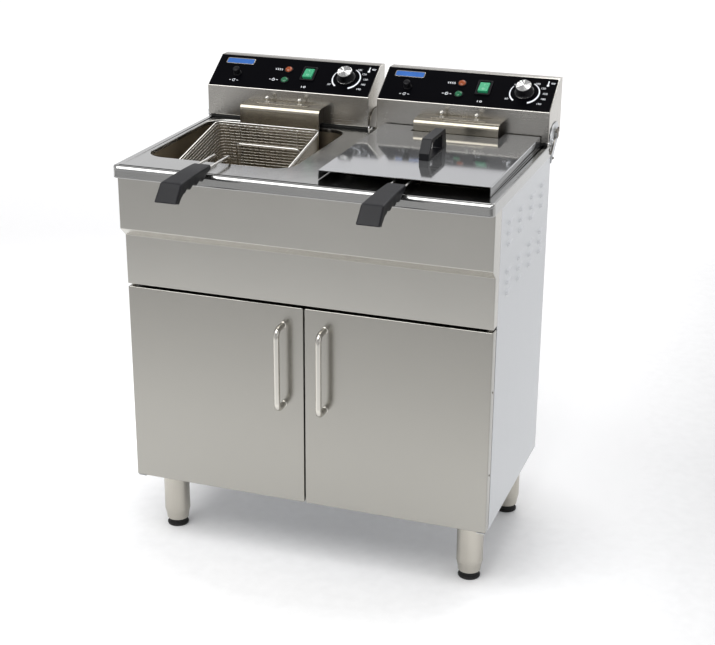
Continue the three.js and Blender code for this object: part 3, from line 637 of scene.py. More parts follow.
def make_door(side, name):
    """A door skin with returned edges, its stiffener, magnet plate and screws."""
    x0, x1, y0, y1, z0, z1 = span(f"door_{name}")
    body = f"door_{name}"
    back = y0 + SHEET + 0.2

    def ring(inset, y):
        corner = DOOR_CORNER - inset * 0.8
        return [(x, y, z) for x, z in rounded(x0 + inset, x1 - inset, z0 + inset, z1 - inset, corner, 4)]

    rings = [ring(DOOR_EDGE * inward, y0 + DOOR_EDGE * deep) for inward, deep in quarter()]
    returned = ((0, y1 - 0.3), (0.3, y1), (0.9, y1), (SHEET, y1 - 0.3), (SHEET, y0 + 2.6), (2.4, back))
    form = Form().loft(rings + [ring(inset, y) for inset, y in returned])
    form.block(x0 + 3, x1 - 3, back, y0 + SHEET + 1.2, 322, 362)  # stiffener
    free, far, axis = (x0, x1, "+x") if side > 0 else (x1, x0, "-x")
    magnet = sorted((free + side * 6, free + side * 46))
    form.block(*magnet, back, y0 + SHEET + 2, z1 - 40, z1 - 14)
    remade(body, "skin", form, "door", body, "cabinet_steel", sharp=45)
    fixings = Form()
    screws(fixings, [(axis, far, y0 + 11.5, z) for z in (407, 246)], 0.62)
    h0, h1, _, _, b0, b1 = span(f"door_handle_{name}")
    screws(fixings, [("+y", (h0 + h1) / 2, y0 + SHEET + 0.4, z) for z in (b0 + 5.5, b1 - 5.5)])
    piece(f"door_{name}_screws", fixings, "plated", body, "plated_fittings")


def make_door_handle(name):
    """A round bar bent at both ends, with a ferrule where each end meets the door."""
    x0, x1, y0, y1, z0, z1 = span(f"door_handle_{name}")
    x, r = (x0 + x1) / 2, (x1 - x0) / 2
    points = [(x, y1, z0 + r), (x, y0 + r, z0 + r), (x, y0 + r, z1 - r), (x, y1, z1 - r)]
    form = Form().tube(bent(points, 17, 8), r, 16)
    ferrule = [(0, 0), (r + 1.3, 0), (r + 1.3, 1), (r + 0.2, 2.2), (0, 2.2)]
    for z in (z0 + r, z1 - r):
        form.lathe(ferrule, 18, facing("-y", x, y1 + 0.3, z))
    remade(f"door_handle_{name}", "bar", form, "handle", f"door_{name}", "handle_steel", sharp=50)


for side, name in SIDES:
    make_door(side, name)
    make_door_handle(name)


# ---- control heads
SLOPE_RUN = 74.0
SLOPE_RISE = 48.0
SLOPE = math.atan2(SLOPE_RISE, SLOPE_RUN)
FACE = 1.7  # top of the control panel above the slope
SEAT = 2.0  # where the panel's fittings start
PRINT = 0.06  # thickness of the printing
KNOB_X = 111.0
KNOB_T = 45.0


def on_panel(name, x, t, height):
    """A place on the control panel: x across, t up the slope, z out of it."""
    x0, x1, y0, _, _, z1 = span(f"head_housing_{name}")
    cos, sin = math.cos(SLOPE), math.sin(SLOPE)
    spot = ((x0 + x1) / 2 + x, y0 + t * cos, z1 - SLOPE_RISE + t * sin)
    return Matrix.Translation(spot) @ Matrix.Rotation(SLOPE, 4, "X") @ Matrix.Translation((0, 0, height))


def moved(place, x, y):
    """A place shifted within its own plane."""
    return place @ Matrix.Translation((x, y, 0))


def lettering(form, text, size, place):
    """Adds a number, centred on a place."""
    curve = bpy.data.curves.new("figure", "FONT")
    curve.body, curve.size, curve.extrude = text, size, 0.03
    curve.align_x, curve.align_y, curve.resolution_u = "CENTER", "CENTER", 3
    holder = bpy.data.objects.new("figure", curve)
    bpy.context.scene.collection.objects.link(holder)
    bpy.context.view_layer.update()
    mesh = bpy.data.meshes.new_from_object(holder)
    form.add([v.co.copy() for v in mesh.vertices], [list(p.vertices) for p in mesh.polygons], place)
    bpy.data.objects.remove(holder)
    bpy.data.curves.remove(curve)
    bpy.data.meshes.remove(mesh)


def band(form, place, radius, width, start, end, steps=20, thin=1):
    """A flat printed arc, which starts at the thin part of its width."""
    outer, inner = [], []
    for i in range(steps + 1):
        t = i / steps
        half = width * mixed(thin, 1, t) / 2
        angle = math.radians(mixed(start, end, t))
        outer.append(at(angle, radius + half))
        inner.append(at(angle, radius - half))
    form.prism(outer + inner[::-1], 0, PRINT, place=place)


def bars(form, place, *corners):
    """Flat printed bars, each given as x0, x1, y0, y1."""
    for bar in corners:
        form.block(*bar, 0, PRINT, place=place)


# Dial figures: angle, radius and number.
FIGURES = (
    (51.6, 32.5, "100"), (24, 36, "120"), (1, 39, "150"), (-19, 40.5, "180"), (-39, 42, "190"), (212, 36, "60"),
)


def make_print(name):
    """Dial arcs and figures, and plain symbols beside the lamps, switch and button."""
    form = Form()
    dial = on_panel(name, KNOB_X, KNOB_T, FACE)
    band(form, dial, 28, 3.4, 148, 232, steps=14, thin=0.35)
    band(form, dial, 28, 4.2, 62, -68, thin=0.35)
    for angle, radius, figure in FIGURES:
        lettering(form, figure, 6.6, moved(dial, *at(math.radians(angle), radius)))
    for angle in (139, 112, 90):
        a = math.radians(angle)
        bars(form, moved(dial, *at(a, 30)) @ Matrix.Rotation(a, 4, "Z"), (-1.5, 1.5, -0.6, 0.6))
    # A thermometer: bulb, stem and marks.
    spot = on_panel(name, 151, 68, FACE)
    form.lathe([(0, 0), (2.6, 0), (2.6, PRINT), (0, PRINT)], 14, spot)
    bars(form, spot, (-1.1, 1.1, 1, 11.5))
    band(form, moved(spot, 7, 6.4), 1.5, 0.9, 0, 350, steps=14)
    bars(form, spot, (9.4, 13.2, 6.8, 7.8), (9.4, 12.2, 4.2, 5.2))
    # Heat: four waves.
    spot = on_panel(name, -34, 56, FACE)
    for k in range(4):
        wave = [(0.9 * math.sin(i * 1.05) + 4.2 * (k - 1.5), i * 0.75 - 2.6) for i in range(8)]
        outline = [(x - 0.7, y) for x, y in wave] + [(x + 0.7, y) for x, y in wave[::-1]]
        form.prism(outline, 0, PRINT, place=spot)
    # Power: a bar in a broken ring, between dashes.
    spot = on_panel(name, -37, 27, FACE)
    band(form, spot, 2.8, 1.2, 125, 415)
    bars(form, spot, (-0.6, 0.6, 0.4, 4.4), (-9, -5.6, -0.6, 0.6), (6, 9.4, -0.6, 0.6))
    # Switch: a bar and a ring below it.
    spot = on_panel(name, 31, 13, FACE)
    bars(form, spot, (-4.4, -3.2, -2.4, 2.4))
    band(form, moved(spot, 2.4, 0), 2, 1.1, 0, 355)
    # Reset: an arrow bent round, between dashes.
    spot = on_panel(name, -119, 17, FACE)
    band(form, spot, 2.6, 1, 60, 350)
    form.prism([(0.8, 3.9), (0.8, 0.5), (3.8, 2.2)], 0, PRINT, place=spot)
    bars(form, spot, (-9.5, -6.1, -0.6, 0.6), (6.3, 9.7, -0.6, 0.6))
    piece(f"panel_print_{name}", form, "print", f"head_{name}", "panel_black")


def make_badge(name):
    """A plain blank plate with a raised rim."""
    spot = on_panel(name, -121, 70, FACE)
    section = ((0, 0), (0, 0.9), (0.4, 1.2), (1.3, 1.2), (1.6, 0.8))
    rings = [plate(-30, 30, -8, 8, inset, 3.5 - inset, z, 5) for inset, z in section]
    piece(f"badge_rim_{name}", Form().loft(rings, place=spot), "handle", f"head_{name}", "panel_black")
    face = [plate(-30, 30, -8, 8, 1.7, 1.9, z, 5) for z in (0.7, 0.95)]
    piece(f"badge_plate_{name}", Form().loft(face, place=spot), "badge", f"head_{name}", "panel_black", edge=0.1)


# The knob's radius, height and depth of flute, from its shaft to its top.
KNOB_PROFILE = (
    (3, -5, 0), (3, 0, 0), (17.6, 0, 0), (18, 0.5, 0), (18, 3, 0), (17.2, 3.8, 0), (16.2, 5, 0), (15.6, 6.4, 0.5),
    (15.2, 16.4, 0.5), (15, 17.6, 0.1), (14.4, 18, 0),
)


def make_knob(name):
    """A fluted knob with a trim ring, a white mark and a spun metal cap."""
    spot = on_panel(name, KNOB_X, KNOB_T, SEAT)
    body = f"knob_{name}"
    rings = []
    for radius, z, flute in KNOB_PROFILE:
        rings.append([(*at(a, radius - (0 if i % 3 else flute)), z) for i, a in enumerate(turn(72))])
    fluted = Form().loft(rings, place=spot)
    remade(f"thermostat_knob_{name}", "body", fluted, "black", body, "knob_black", sharp=50)
    spokes = 24
    points = [(*at(a, 13.6), 19.9 if i % 2 else 19) for i, a in enumerate(turn(spokes))] + [(0, 0, 20.2)]
    points += [(*at(a, 14.6), z) for z in (18.6, 17.6) for a in turn(spokes)]
    hub, edge, low = spokes, spokes + 1, 2 * spokes + 1
    faces = []
    for i in range(spokes):
        j = (i + 1) % spokes
        faces += [[i, j, hub], [edge + i, edge + j, j, i], [low + i, low + j, edge + j, edge + i]]
    faces.append([low + i for i in range(spokes)])
    piece(f"knob_cap_{name}", Form().add(points, faces, spot), "cap", body, "knob_black", sharp=4)
    trim = Form().lathe([(17, 3.3), (18.15, 3), (18.25, 2.5), (18.15, 2), (17, 2)], 48, spot)
    piece(f"knob_trim_{name}", trim, "cap", body, "knob_black", sharp=50)
    mark = Form().block(-1, 1, 13.6, 16.4, 5.5, 17.5, place=spot)
    piece(f"knob_mark_{name}", mark, "print", body, "knob_black", edge=0.2)


# The bezel's half width, half height, corner radius and height above the panel.
BEZEL_SECTION = (
    (14.5, 18.5, 3, 0), (14.5, 18.5, 3, 2.2), (14, 18, 2.6, 2.9), (13.2, 17.2, 2.2, 3.1), (10.8, 15.8, 0.8, 3.1),
    (10.5, 15.5, 0.6, 2.8), (10.5, 15.5, 0.6, 0),
)
ROCKER = (-9.5, 9.5, -13, 13)
ROCKER_LOW = 6.0  # how far the rocker's lower end stands out
ROCKER_HIGH = 2.5  # how far its upper end stands out


def make_switch(name):
    """A lit rocker in a moulded bezel, with its two marks."""
    spot = on_panel(name, 32, 48, SEAT)
    rings = [plate(-x, x, -y, y, 0, radius, z) for x, y, radius, z in BEZEL_SECTION]
    bezel = Form().loft(rings, closed=True, place=spot)
    remade(f"switch_bezel_{name}", "moulded", bezel, "black", f"head_{name}", "knob_black", sharp=50)
    rings = [plate(*ROCKER, 0, 1.2, z, 3) for z in (-5.5, 0)]
    for inset, below in ((0, 0.7), (0.25, 0)):
        ring = plate(*ROCKER, inset, 1.2, 0, 3)
        rings.append([(x, y, mixed(ROCKER_LOW, ROCKER_HIGH, (y + 13) / 26) - below) for x, y, _ in ring])
    rocker = Form().loft(rings, place=spot)
    remade(f"power_switch_{name}", "rocker", rocker, "green", f"switch_{name}", "switch_green", sharp=40)
    tilt = math.atan2(ROCKER_HIGH - ROCKER_LOW, 26)
    surface = spot @ Matrix.Translation((0, 0, 4.3)) @ Matrix.Rotation(tilt, 4, "X")
    marks = Form().block(-0.5, 0.5, 4, 8.4, 0, 0.08, place=surface)
    band(marks, moved(surface, 0, -6.4), 2.1, 0.9, 0, 355, steps=18)
    piece(f"switch_marks_{name}", marks, "pale", f"switch_{name}", "switch_green")


def make_lamps(name):
    """The heat and power lamps: a black ring and a faceted lens each."""
    body = f"head_{name}"
    lamps = (("heat", 56, "amber", "lamp_amber"), ("power", 27, "lamp_green", "lamp_green"))
    for label, t, look, slot in lamps:
        spot = on_panel(name, -13, t, SEAT)
        ring = Form().lathe([(7.3, 0), (8.6, 0), (8.6, 0.8), (8.1, 1.3), (7.3, 1.3)], 28, spot)
        piece(f"{label}_lamp_ring_{name}", ring, "black", body, "knob_black", edge=0.15)
        lens = []
        for r, z in ((7.2, 0.2), (7.2, 1.6), (6.4, 2.9), (4.4, 4), (2, 4.4), (0, 4.5)):
            lens.append([(*at(a, r * (1 - 0.06 * (i % 2))), z) for i, a in enumerate(turn(20))])
        remade(f"{label}_lamp_{name}", "lens", Form().loft(lens, place=spot), look, body, slot, sharp=12)


def make_reset(name):
    """A round button in a six-sided collar."""
    spot = on_panel(name, -117, 36, SEAT)
    collar = Form().lathe([(4.6, -0.3), (8.8, -0.3), (8.8, 1.5), (8.2, 2), (4.6, 2)], 6, spot)
    collar.lathe([(4.6, 1.8), (6.2, 1.8), (6.2, 2.6), (4.6, 2.6)], 20, spot)
    piece(f"reset_collar_{name}", collar, "black", f"head_{name}", "knob_black", edge=0.3)
    cap = [(0, -5.5), (4, -5.5), (4, 3), (6.6, 3), (7, 3.5), (7, 11.5), (6.2, 13.2), (4, 13.9), (0, 14)]
    button = Form().lathe(cap, 28, spot)
    remade(f"reset_button_{name}", "cap", button, "black", f"reset_{name}", "knob_black", sharp=45)


def make_element_cover(name):
    """A folded cover with a round nose, and plates set back in its ends, dark as painted shade."""
    x0, x1, y0, y1, z0, z1 = span(f"element_cover_{name}")
    nose, set_back, foot, step = 12, 6, y0 + 22, TOP + 8
    outer = [(y0, z0)] + arc(y0 + nose, z1 - nose, nose, 180, 90, 14) + [(y1, z1)]
    under = arc(y0 + nose, z1 - nose, nose - SHEET, 180, 90, 14) + [(y1, z1 - SHEET)]
    form = Form().prism(outer + under[::-1] + [(y0 + SHEET, z0)], x0, x1, sideways=True)
    node, body = f"element_cover_{name}", f"head_{name}"
    remade(node, "polished", form, "cover", body, "polished_steel", edge=0.3, sharp=40)
    wall = [(y0 + SHEET, z0)] + under + [(y1, step), (foot, step), (foot, z0)]
    ends = Form()
    for x in (x0 + set_back, x1 - set_back - SHEET):
        ends.prism(wall, x, x + SHEET, sideways=True)
    # The end plates take the dark element finish as painted shade, for the shadow inside the cover's ends.
    piece(f"{node}_ends", ends, "element", body, "element_steel", sharp=40)


def make_hooks(name):
    """Two round-headed posts on a strip."""
    x0, x1, y0, y1, z0, _ = span(f"basket_hooks_{name}")
    cx, cy = (x0 + x1) / 2, (y0 + y1) / 2
    rings = [plate(x0, x1, y0, y1, inset, 3 - inset, z0 + z) for inset, z in ((0, 0), (0, 1.1), (0.4, 1.5))]
    piece(f"hook_strip_{name}", Form().loft(rings), "cover", f"head_{name}", "polished_steel", sharp=45)
    profile = [(0, 0.5), (5, 0.5), (5, 2.4), (4.2, 3), (3, 3), (3, 6)] + arc(0, 9.5, 4.5, -48, 90, 9)
    form = Form()
    for x in (cx - 34, cx + 34):
        form.lathe(profile, 20, Matrix.Translation((x, cy, z0)))
    remade(f"basket_hooks_{name}", "posts", form, "handle", f"head_{name}", "polished_steel", sharp=45)


def make_element(name):
    """A heating element bent into a double loop, with a nut at each end."""
    x0, x1, y0, y1, z0, z1 = span(f"heating_element_{name}")
    r, loop = 4, 40.0
    left, right, near, rear, low = x0 + r, x1 - r, y0 + r, y1 - r, z0 + r
    plan = [(left, rear), (left, near), (left + loop, near), (left + loop, rear - loop),
            (right - loop, rear - loop), (right - loop, near), (right, near), (right, rear)]
    points = [(left, rear, z1)] + level(plan, low) + [(right, rear, z1)]
    form = Form().tube(bent(points, 18, 7), r, 12)
    for x in (left, right):
        form.lathe([(0, 0), (6.5, 0), (6.5, 7), (0, 7)], 6, Matrix.Translation((x, rear, z1 - 9)))
    node = f"heating_element_{name}"
    remade(node, "tube", form, "element", f"head_{name}", "element_steel", edge=0.3, sharp=50)


def make_gland(name):
    """The cable gland at the back of a head: a six-sided nut and a ribbed sleeve."""
    x0, x1, y0, _, z0, z1 = span(f"cable_gland_{name}")
    spot = facing("+y", (x0 + x1) / 2, y0, (z0 + z1) / 2)
    form = Form().lathe([(5, 0), (11, 0), (11, 5.4), (10.4, 6), (5, 6)], 6, spot)
    sleeve = [(4.8, 5), (9, 5), (9, 6.5), (8.4, 7.2), (9, 8), (9, 14), (7.6, 16), (5.6, 16), (4.8, 15)]
    form.lathe(sleeve, 24, spot)
    remade(f"cable_gland_{name}", "nut", form, "black", f"head_{name}", "panel_black", edge=0.25, sharp=40)


def make_shade_strip(name):
    """A dark rubber strip along the foot of the head's front, in the gap over the worktop: painted shade for the
    shadow there.
    """
    x0, x1, y0 = span(f"head_housing_{name}")[:3]
    section = ((0.5, 0.3), (0, 0.8), (0, 5.9))
    rings = [plate(x0 + 3, x1 - 3, y0 + 3, y0 + 11, inset, 2, TOP + z) for inset, z in section]
    piece(f"head_shade_strip_{name}", Form().loft(rings), "rubber", f"head_{name}", "foot_rubber", sharp=45)


def make_head(name):
    """A control head: its steel housing, the panel and its fittings, and what hangs in the tank."""
    body = f"head_{name}"
    refined(f"head_housing_{name}", "head", body, "head_steel", fold=1.1, edge=0.3)
    refined(f"control_panel_{name}", "foil", body, "panel_black", edge=0.2)
    for make in (make_print, make_badge, make_knob, make_switch, make_lamps, make_reset, make_element_cover,
                 make_hooks, make_element, make_gland, make_shade_strip):
        make(name)
    x0, x1, _, y1, z0, z1 = span(f"head_housing_{name}")
    form = Form()
    screws(form, [("+y", x, y1, z) for x in (x0 + 12, (x0 + x1) / 2, x1 - 12) for z in (z0 + 12, z1 - 12)])
    piece(f"head_screws_{name}", form, "plated", body, "plated_fittings")


for _, name in SIDES:
    make_head(name)


# ---- head brackets
PIVOT = 455.0  # depth of the wing nut the head turns on
LOCK = 419.0  # depth of the locking pin


def make_brackets():
    """The brackets beside and between the heads, with a wing nut, a locking wire and its pin."""
    refined("head_bracket_centre", "plated", "cabinet", "side_steel", edge=0.35)
    for side, name in SIDES:
        node = f"head_bracket_{name}"
        refined(node, "side", "cabinet", "side_steel", edge=0.35)
        x0, x1 = span(node)[:2]
        face, axis = (x1 - 4, "+x") if side > 0 else (x0 + 4, "-x")
        form = Form()
        high = TOP + 12
        spot = facing(axis, face, PIVOT, high)
        form.lathe([(0, 0), (9.5, 0), (9.5, 0.8), (0, 0.8)], 24, spot)
        form.lathe([(0, 0.8), (7, 0.8), (7, 4.6), (6.2, 5.4), (0, 5.4)], 6, spot)
        for angle in (50, 130):
            u, v = at(math.radians(angle), 1)
            root = (face + side * 3, PIVOT + 5 * u, high + 5 * v)
            form.tube([root, (face + side * 3.4, PIVOT + 13 * u, high + 17 * v)], 1.9)
        wire = ((2.2, PIVOT - 3, 8), (2.8, PIVOT - 25, 3), (2.8, LOCK + 1, -6), (1.4, LOCK, -14))
        form.tube(bent([(face + side * x, y, TOP + z) for x, y, z in wire], 9), 1.6)
        form.lathe([(0, 0), (3.4, 0), (3.4, 1.2), (2.6, 2.4), (0, 2.6)], 16, facing(axis, face, LOCK, TOP - 15))
        rivet = [(0, -1.5), (2.4, -1.5), (2.4, 1.6), (1.8, 2.2), (0, 2.2)]
        form.lathe(rivet, 14, facing("-y", face, 441, TOP - 30))
        piece(f"bracket_fittings_{name}", form, "plated", "cabinet", "plated_fittings", sharp=40)


make_brackets()


# ---- baskets
TANK_X = 180.0  # from the middle of the fryer to the middle of a tank
BASKET_TILT = math.radians(11.3)
BASKET_WIDTH = 210.0
BASKET_LENGTH = 215.0
BASKET_DEPTH = 100.0
BASKET_TAPER = 8.0
GRIP_WIRE_X = 13.5  # the wires into the grip lie this far either side of its middle
WIRES = 138
ROWS = 17


def basket_place(side, name):
    """Where a basket hangs: its origin is the middle of its upper back edge."""
    _, _, _, back, _, high = span(f"basket_{name}")
    lean = BASKET_DEPTH * math.sin(BASKET_TILT) - BASKET_TAPER * math.cos(BASKET_TILT)
    return Matrix.Translation((side * TANK_X, back - lean, high)) @ Matrix.Rotation(BASKET_TILT, 4, "X")


def basket_outline(down, grow=0):
    """The basket's outline from its top, down 0, to its floor, down 1."""
    inset = BASKET_TAPER * down - grow
    half = BASKET_WIDTH / 2 - inset
    return rounded(-half, half, -BASKET_LENGTH + inset, -inset, 9 + grow, 4)


def basket_mesh(place):
    """Round wires, upright wires and a grid of floor wires."""
    mesh = Form()
    for row in range(ROWS):
        down = (row + 0.6) / ROWS
        path = []
        for i, (point, normal) in enumerate(resampled(basket_outline(down), WIRES)):
            spot = point + normal * (0.5 if i % 2 else -0.5)  # in and out between the upright wires
            path.append((spot.x, spot.y, -BASKET_DEPTH * down))
        mesh.tube(path, 0.68, 5, closed=True, place=place)
    upper, lower = (resampled(basket_outline(down), WIRES) for down in (0, 1))
    for (a, _), (b, out) in zip(upper, lower):
        end = b - out * 2
        path = [(a.x, a.y, 0), (b.x, b.y, -BASKET_DEPTH + 2), (end.x, end.y, -BASKET_DEPTH)]
        mesh.tube(path, 0.42, 4, place=place)
    inset = BASKET_TAPER + 1.5
    half, near, far = BASKET_WIDTH / 2 - inset, -BASKET_LENGTH + inset, -inset
    for i in range(33):
        x = mixed(-half, half, i / 32)
        mesh.tube([(x, near, -BASKET_DEPTH), (x, far, -BASKET_DEPTH)], 0.55, 4, place=place)
    for i in range(34):
        y = mixed(near, far, i / 33)
        mesh.tube([(-half, y, -BASKET_DEPTH - 0.6), (half, y, -BASKET_DEPTH - 0.6)], 0.55, 4, place=place)
    return mesh


def basket_rods(side, name, place):
    """The rim, a hanger frame at the back wall, two runners under the floor and the wires into the grip."""
    rods = Form()
    front, foot = -BASKET_LENGTH, -BASKET_DEPTH
    for grow, z in ((1.6, 0), (0.4, -4.6)):
        rods.tube(level(basket_outline(0, grow), z), 1.5, closed=True, place=place)
    hanger_y = -BASKET_TAPER - 3
    hanger = [(-66, hanger_y, foot + 2), (-66, -9, -39), (66, -9, -39), (66, hanger_y, foot + 2)]
    rods.tube(bent(hanger, 9), 2, place=place)
    for x in (-58, 58):
        path = ((front - 2, -5), (front + BASKET_TAPER - 2, foot - 2.6), (-BASKET_TAPER + 2, foot - 2.6), (2, -5))
        runner = [(x, y, z) for y, z in path]
        rods.tube(bent(runner, 9), 1.4, place=place)
    x0, x1, _, grip_back, _, _ = span(f"basket_grip_{name}")
    bridge = []
    for x in ((x0 + x1) / 2 - GRIP_WIRE_X, (x0 + x1) / 2 + GRIP_WIRE_X):
        across = x - side * TANK_X
        inside, over = place @ Vector((across, front + 10, -30)), place @ Vector((across, front + 3, 1.5))
        points = [inside, over, (x, over.y - 5, TOP + 11), (x, grip_back - 6, TOP + 11)]
        rods.tube(bent(points, 9, 6), 2.5, 12)
        bridge.append(place @ Vector((across, front + 10, -29)))
    return rods.tube(bridge, 2.3)


def make_basket(side, name):
    """A wire basket, hung with its back edge lower."""
    place = basket_place(side, name)
    body = f"basket_{name}"
    remade(body, "mesh", basket_mesh(place), "mesh", body, "chrome_wire", sharp=80)
    piece(f"{body}_rods", basket_rods(side, name, place), "chrome", body, "chrome_wire", sharp=60)


GRIP_STATIONS = (  # depth and height of the top, then of the bottom, and width
    (12.5, 15.2, 12.5, 6, 31), (11.6, 16.4, 11.6, 5, 33.5), (2, 16.9, 2, 4, 34.6),
    (-8, 17.1, -8, 0.6, 35), (-15, 17.2, -15, -4.2, 35.2), (-20, 17.3, -20, -6, 35.3),
    (-24, 17.3, -24, -4.6, 35.4), (-29, 17.3, -29, -0.8, 35.6), (-35, 17.3, -35, -1.4, 35.8),
    (-41, 17.2, -41, -4.8, 36), (-46, 17.1, -46, -6.2, 36.2), (-50, 17, -50, -4.8, 36.4),
    (-55, 16.9, -55, -1, 36.6), (-61, 16.7, -61, -1.6, 36.9), (-67, 16.5, -67, -5, 37.2),
    (-72, 16.3, -72, -6.4, 37.6), (-76, 16.1, -76, -5, 37.8), (-82, 15.9, -81, -2, 38.1),
    (-89, 15.6, -87, -2.8, 38.4), (-97, 15.2, -93.5, -6.4, 38.8), (-105, 14.9, -99, -7, 39.2),
    (-110.6, 14.5, -102.5, -7.8, 39.4), (-112.6, 13.6, -104.5, -9, 39.6), (-114.2, 12, -106.2, -10, 39.8),
    (-120.6, 4.6, -110.5, -12, 40.4), (-128, -3.6, -115, -14.4, 41), (-134.4, -10.6, -118.6, -17, 41.6),
    (-135.9, -12.6, -119.4, -18, 41.6), (-135.4, -14.4, -120, -18.4, 40),
)


def make_grip(name):
    """A moulded grip with finger scallops, bent down at its front end."""
    x0, x1 = span(f"basket_grip_{name}")[:2]
    cx = (x0 + x1) / 2
    rings = []
    for top_y, top_z, bottom_y, bottom_z, width in GRIP_STATIONS:
        top, bottom = Vector((0, top_y, TOP + top_z)), Vector((0, bottom_y, TOP + bottom_z))
        up = (top - bottom).normalized()
        height = (top - bottom).length
        middle = (top + bottom) / 2
        ring = []
        for u, v in rounded(-width / 2, width / 2, -height / 2, height / 2, min(3.6, height * 0.3), 4):
            narrow = 1 - 0.07 * (0.5 - v / height)
            ring.append(middle + Vector((cx + u * narrow, 0, 0)) + up * v)
        rings.append(ring)
    node = f"basket_grip_{name}"
    remade(node, "moulded", Form().loft(rings), "grip", f"basket_{name}", "grip_charcoal", sharp=28)


for side, name in SIDES:
    make_basket(side, name)
    make_grip(name)


# ---- lid
def make_lid():
    """The folded lid and its bridge handle, whose bar has three scallops underneath."""
    refined("lid", "polished", "lid", "polished_steel", fold=1.4, edge=0.3)
    x0, x1, y0, y1, z0, z1 = span("lid_handle")
    lean_front, lean_back, bar, strip, rise = 17, 9, 6, 2, 12.0
    front, front_top, rear = y0 + 9, y0 + 21, y1 - 26
    outline = [(y0, z0), (y1, z0)] + arc(y1 - lean_back - 1.6, z1 - 4, 4, 12, 90, 5)
    outline += arc(y0 + lean_front + 2, z1 - 4, 4, 90, 155, 5) + [(y0, z0 + rise)]
    opening = arc(front + 2, z0 + strip + 2, 2, 180, 270, 4) + arc(rear - 3, z0 + strip + 3, 3, 270, 360, 4)
    opening += arc(rear - 4, z1 - bar - 4, 4, 0, 90, 5)
    length = rear - front_top - 6
    for i in range(23, 0, -1):
        t = i / 24
        opening.append((front_top + 2 + length * t, z1 - bar - 1.5 * math.sin(3 * math.pi * t) ** 2))
    opening += arc(front_top + 2, z1 - bar - 2, 2, 90, 155, 5) + [(front, z0 + rise)]
    form = Form()
    walls = [[[(x, y, z) for y, z in loop] for x in (x0, x1)] for loop in (outline, opening)]
    for rings in walls:
        form.loft(rings, caps=False)
    for ends in zip(*walls):
        form.panel(ends)
    remade("lid_handle", "moulded", form, "black", "lid", "knob_black", edge=1, sharp=30)


make_lid()


# ---- studio
def make_floor():
    """A pale floor, which glows a little near the object and far off, so it meets the background softly."""
    size = 30.0
    mesh = bpy.data.meshes.new("floor")
    corners = [(-size, -size, 0), (size, -size, 0), (size, size, 0), (-size, size, 0)]
    mesh.from_pydata(corners, [], [(0, 1, 2, 3)])
    floor = bpy.data.objects.new("floor", mesh)
    bpy.context.scene.collection.objects.link(floor)
    look = Look("pale_floor")
    parts = look.node("SeparateXYZ", {0: look.place})
    across, deep = parts.outputs[0], parts.outputs[1]
    oval = look.node("VectorMath", {0: look.place, 1: (1, 1.4, 1)}, operation="MULTIPLY")
    reach = look.node("VectorMath", {0: oval.outputs["Vector"]}, operation="LENGTH").outputs["Value"]

    def combined(operation, first, *others):
        """Adds values to the first, or multiplies it by them. Each is given as the inputs of ranged."""
        for other in others:
            first = look.math(operation, first, look.ranged(*other))
        return first

    # Paint: painted shade, darker in front of the object and to its right, which the steel fronts and sides
    # reflect.
    pale = combined("ADD", look.ranged(deep, -1.9, -0.7, 0.41, 0.93), (deep, -6.5, -2.9, 0.5, 0))
    pale = look.math("MULTIPLY", pale, look.ranged(look.noise(40), 0.3, 0.7, 0.98, 1.02))
    pale = combined("MULTIPLY", pale, (across, 0.4, 0.75, 1, 0.88))
    look.link(look.node("CombineColor", {0: pale, 1: pale, 2: pale}).outputs[0], "Base Color")
    # Glow: a ring round the object, weaker to its right, and the far floor.
    near = combined("ADD", look.ranged(reach, 0.4, 0.62, 0, 0.2), (reach, 0.8, 1.6, 0, -0.1))
    near = combined("MULTIPLY", near, (across, 0.35, 0.7, 1, 0.2))
    bright = combined("ADD", near, (reach, 2.6, 5.5, 0, 0.45))
    look.link(combined("MULTIPLY", bright, (deep, -1.1, -0.7, 0, 1)), "Emission Strength")
    look.fixed(Roughness=0.9, Specular_IOR_Level=0.1, Emission_Color=(1, 1, 1, 1))
    mesh.materials.append(look.material)


def area_light(name, spot, target, size, power):
    """A soft rectangular light at a spot, turned to a target."""
    data = bpy.data.lights.new(name, "AREA")
    data.shape = "RECTANGLE"
    data.size, data.size_y = size
    data.energy = power
    light = bpy.data.objects.new(name, data)
    light.location = spot
    light.rotation_mode = "QUATERNION"
    light.rotation_quaternion = (Vector(target) - Vector(spot)).to_track_quat("-Z", "Y")
    bpy.context.scene.collection.objects.link(light)


# The dome's brightness, as (position, brightness): from the horizon up, and from the front to the back.
DOME_UP = ((0, 1), (0.17, 0.9), (0.36, 0.66), (0.6, 0.5), (0.85, 0.4), (1, 0.36))
DOME_BACK = ((0, 0.5), (0.25, 0.72), (0.5, 0.95), (1, 1))
DOME_STRENGTH = 1.15


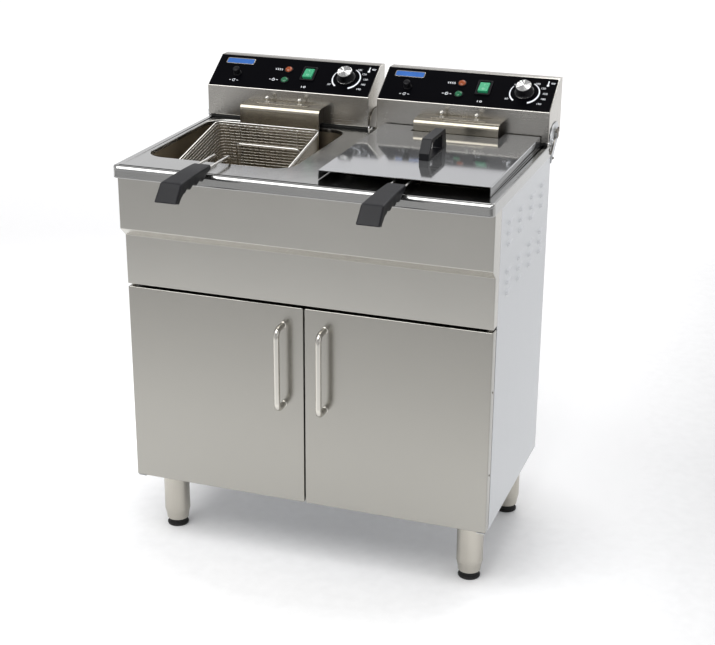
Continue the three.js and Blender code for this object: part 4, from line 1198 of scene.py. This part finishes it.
def make_world():
    """A studio dome: bright at the horizon behind, dimmer in front and part of the way up."""
    world = bpy.data.worlds.new("studio")
    bpy.context.scene.world = world
    world.use_nodes = True
    tree = world.node_tree
    background = next(n for n in tree.nodes if n.type == "BACKGROUND")
    direction = tree.nodes.new("ShaderNodeTexCoord").outputs["Generated"]
    parts = tree.nodes.new("ShaderNodeSeparateXYZ")
    tree.links.new(direction, parts.inputs[0])
    ramps = []
    for output, stops, low in ((2, DOME_UP, 0), (1, DOME_BACK, -1)):
        spread = tree.nodes.new("ShaderNodeMapRange")
        spread.inputs["From Min"].default_value = low
        tree.links.new(parts.outputs[output], spread.inputs["Value"])
        ramp = tree.nodes.new("ShaderNodeValToRGB")
        tree.links.new(spread.outputs[0], ramp.inputs[0])
        marks = ramp.color_ramp.elements
        while len(marks) < len(stops):
            marks.new(0.5)
        for mark, (position, value) in zip(marks, stops):
            mark.position = position
            mark.color = (value, value, value * 1.01, 1)
        ramps.append(ramp.outputs[0])
    product = tree.nodes.new("ShaderNodeMix")
    product.data_type, product.blend_type = "RGBA", "MULTIPLY"
    product.inputs[0].default_value = 1.0
    tree.links.new(ramps[0], product.inputs[6])
    tree.links.new(ramps[1], product.inputs[7])
    tree.links.new(product.outputs[2], background.inputs["Color"])
    background.inputs["Strength"].default_value = DOME_STRENGTH


LIGHTS = (  # name, spot, target and size in metres, and power in watts
    ("front_top", (-0.8, -1.85, 3.2), (-0.7, -1.5, 0), (3.2, 2.8), 110),
    ("back_top", (0.7, 2.3, 3.4), (0, 0.3, 0.3), (2.6, 2), 45),
    ("right_fill", (3, 0.6, 1.6), (0.2, 0, 0.5), (2, 2.4), 3),
)
CAMERA_SPOT = (0.91902, -2.48829, 1.46143)  # metres
CAMERA_TURN = (19.311, 21.081, 0.368)  # degrees round to the right, down, and rolled
LENS = 75.68  # millimetres


def make_camera():
    """A camera at the photograph's viewing angle."""
    data = bpy.data.cameras.new("camera")
    data.sensor_width = 36.0
    data.lens = LENS
    data.clip_end = 200.0
    camera = bpy.data.objects.new("camera", data)
    bpy.context.scene.collection.objects.link(camera)
    yaw, pitch, roll = (math.radians(a) for a in CAMERA_TURN)
    back = Vector((math.sin(yaw) * math.cos(pitch), -math.cos(yaw) * math.cos(pitch), math.sin(pitch)))
    right = Vector((math.cos(yaw), math.sin(yaw), 0))
    up = back.cross(right)
    tilted_right = right * math.cos(roll) + up * math.sin(roll)
    tilted_up = up * math.cos(roll) - right * math.sin(roll)
    basis = Matrix((tilted_right, tilted_up, back)).transposed().to_4x4()
    camera.matrix_world = Matrix.Translation(CAMERA_SPOT) @ basis
    bpy.context.scene.camera = camera


make_floor()
make_world()
make_camera()
for light in LIGHTS:
    area_light(*light)
bpy.context.scene.view_settings.view_transform = "Standard"
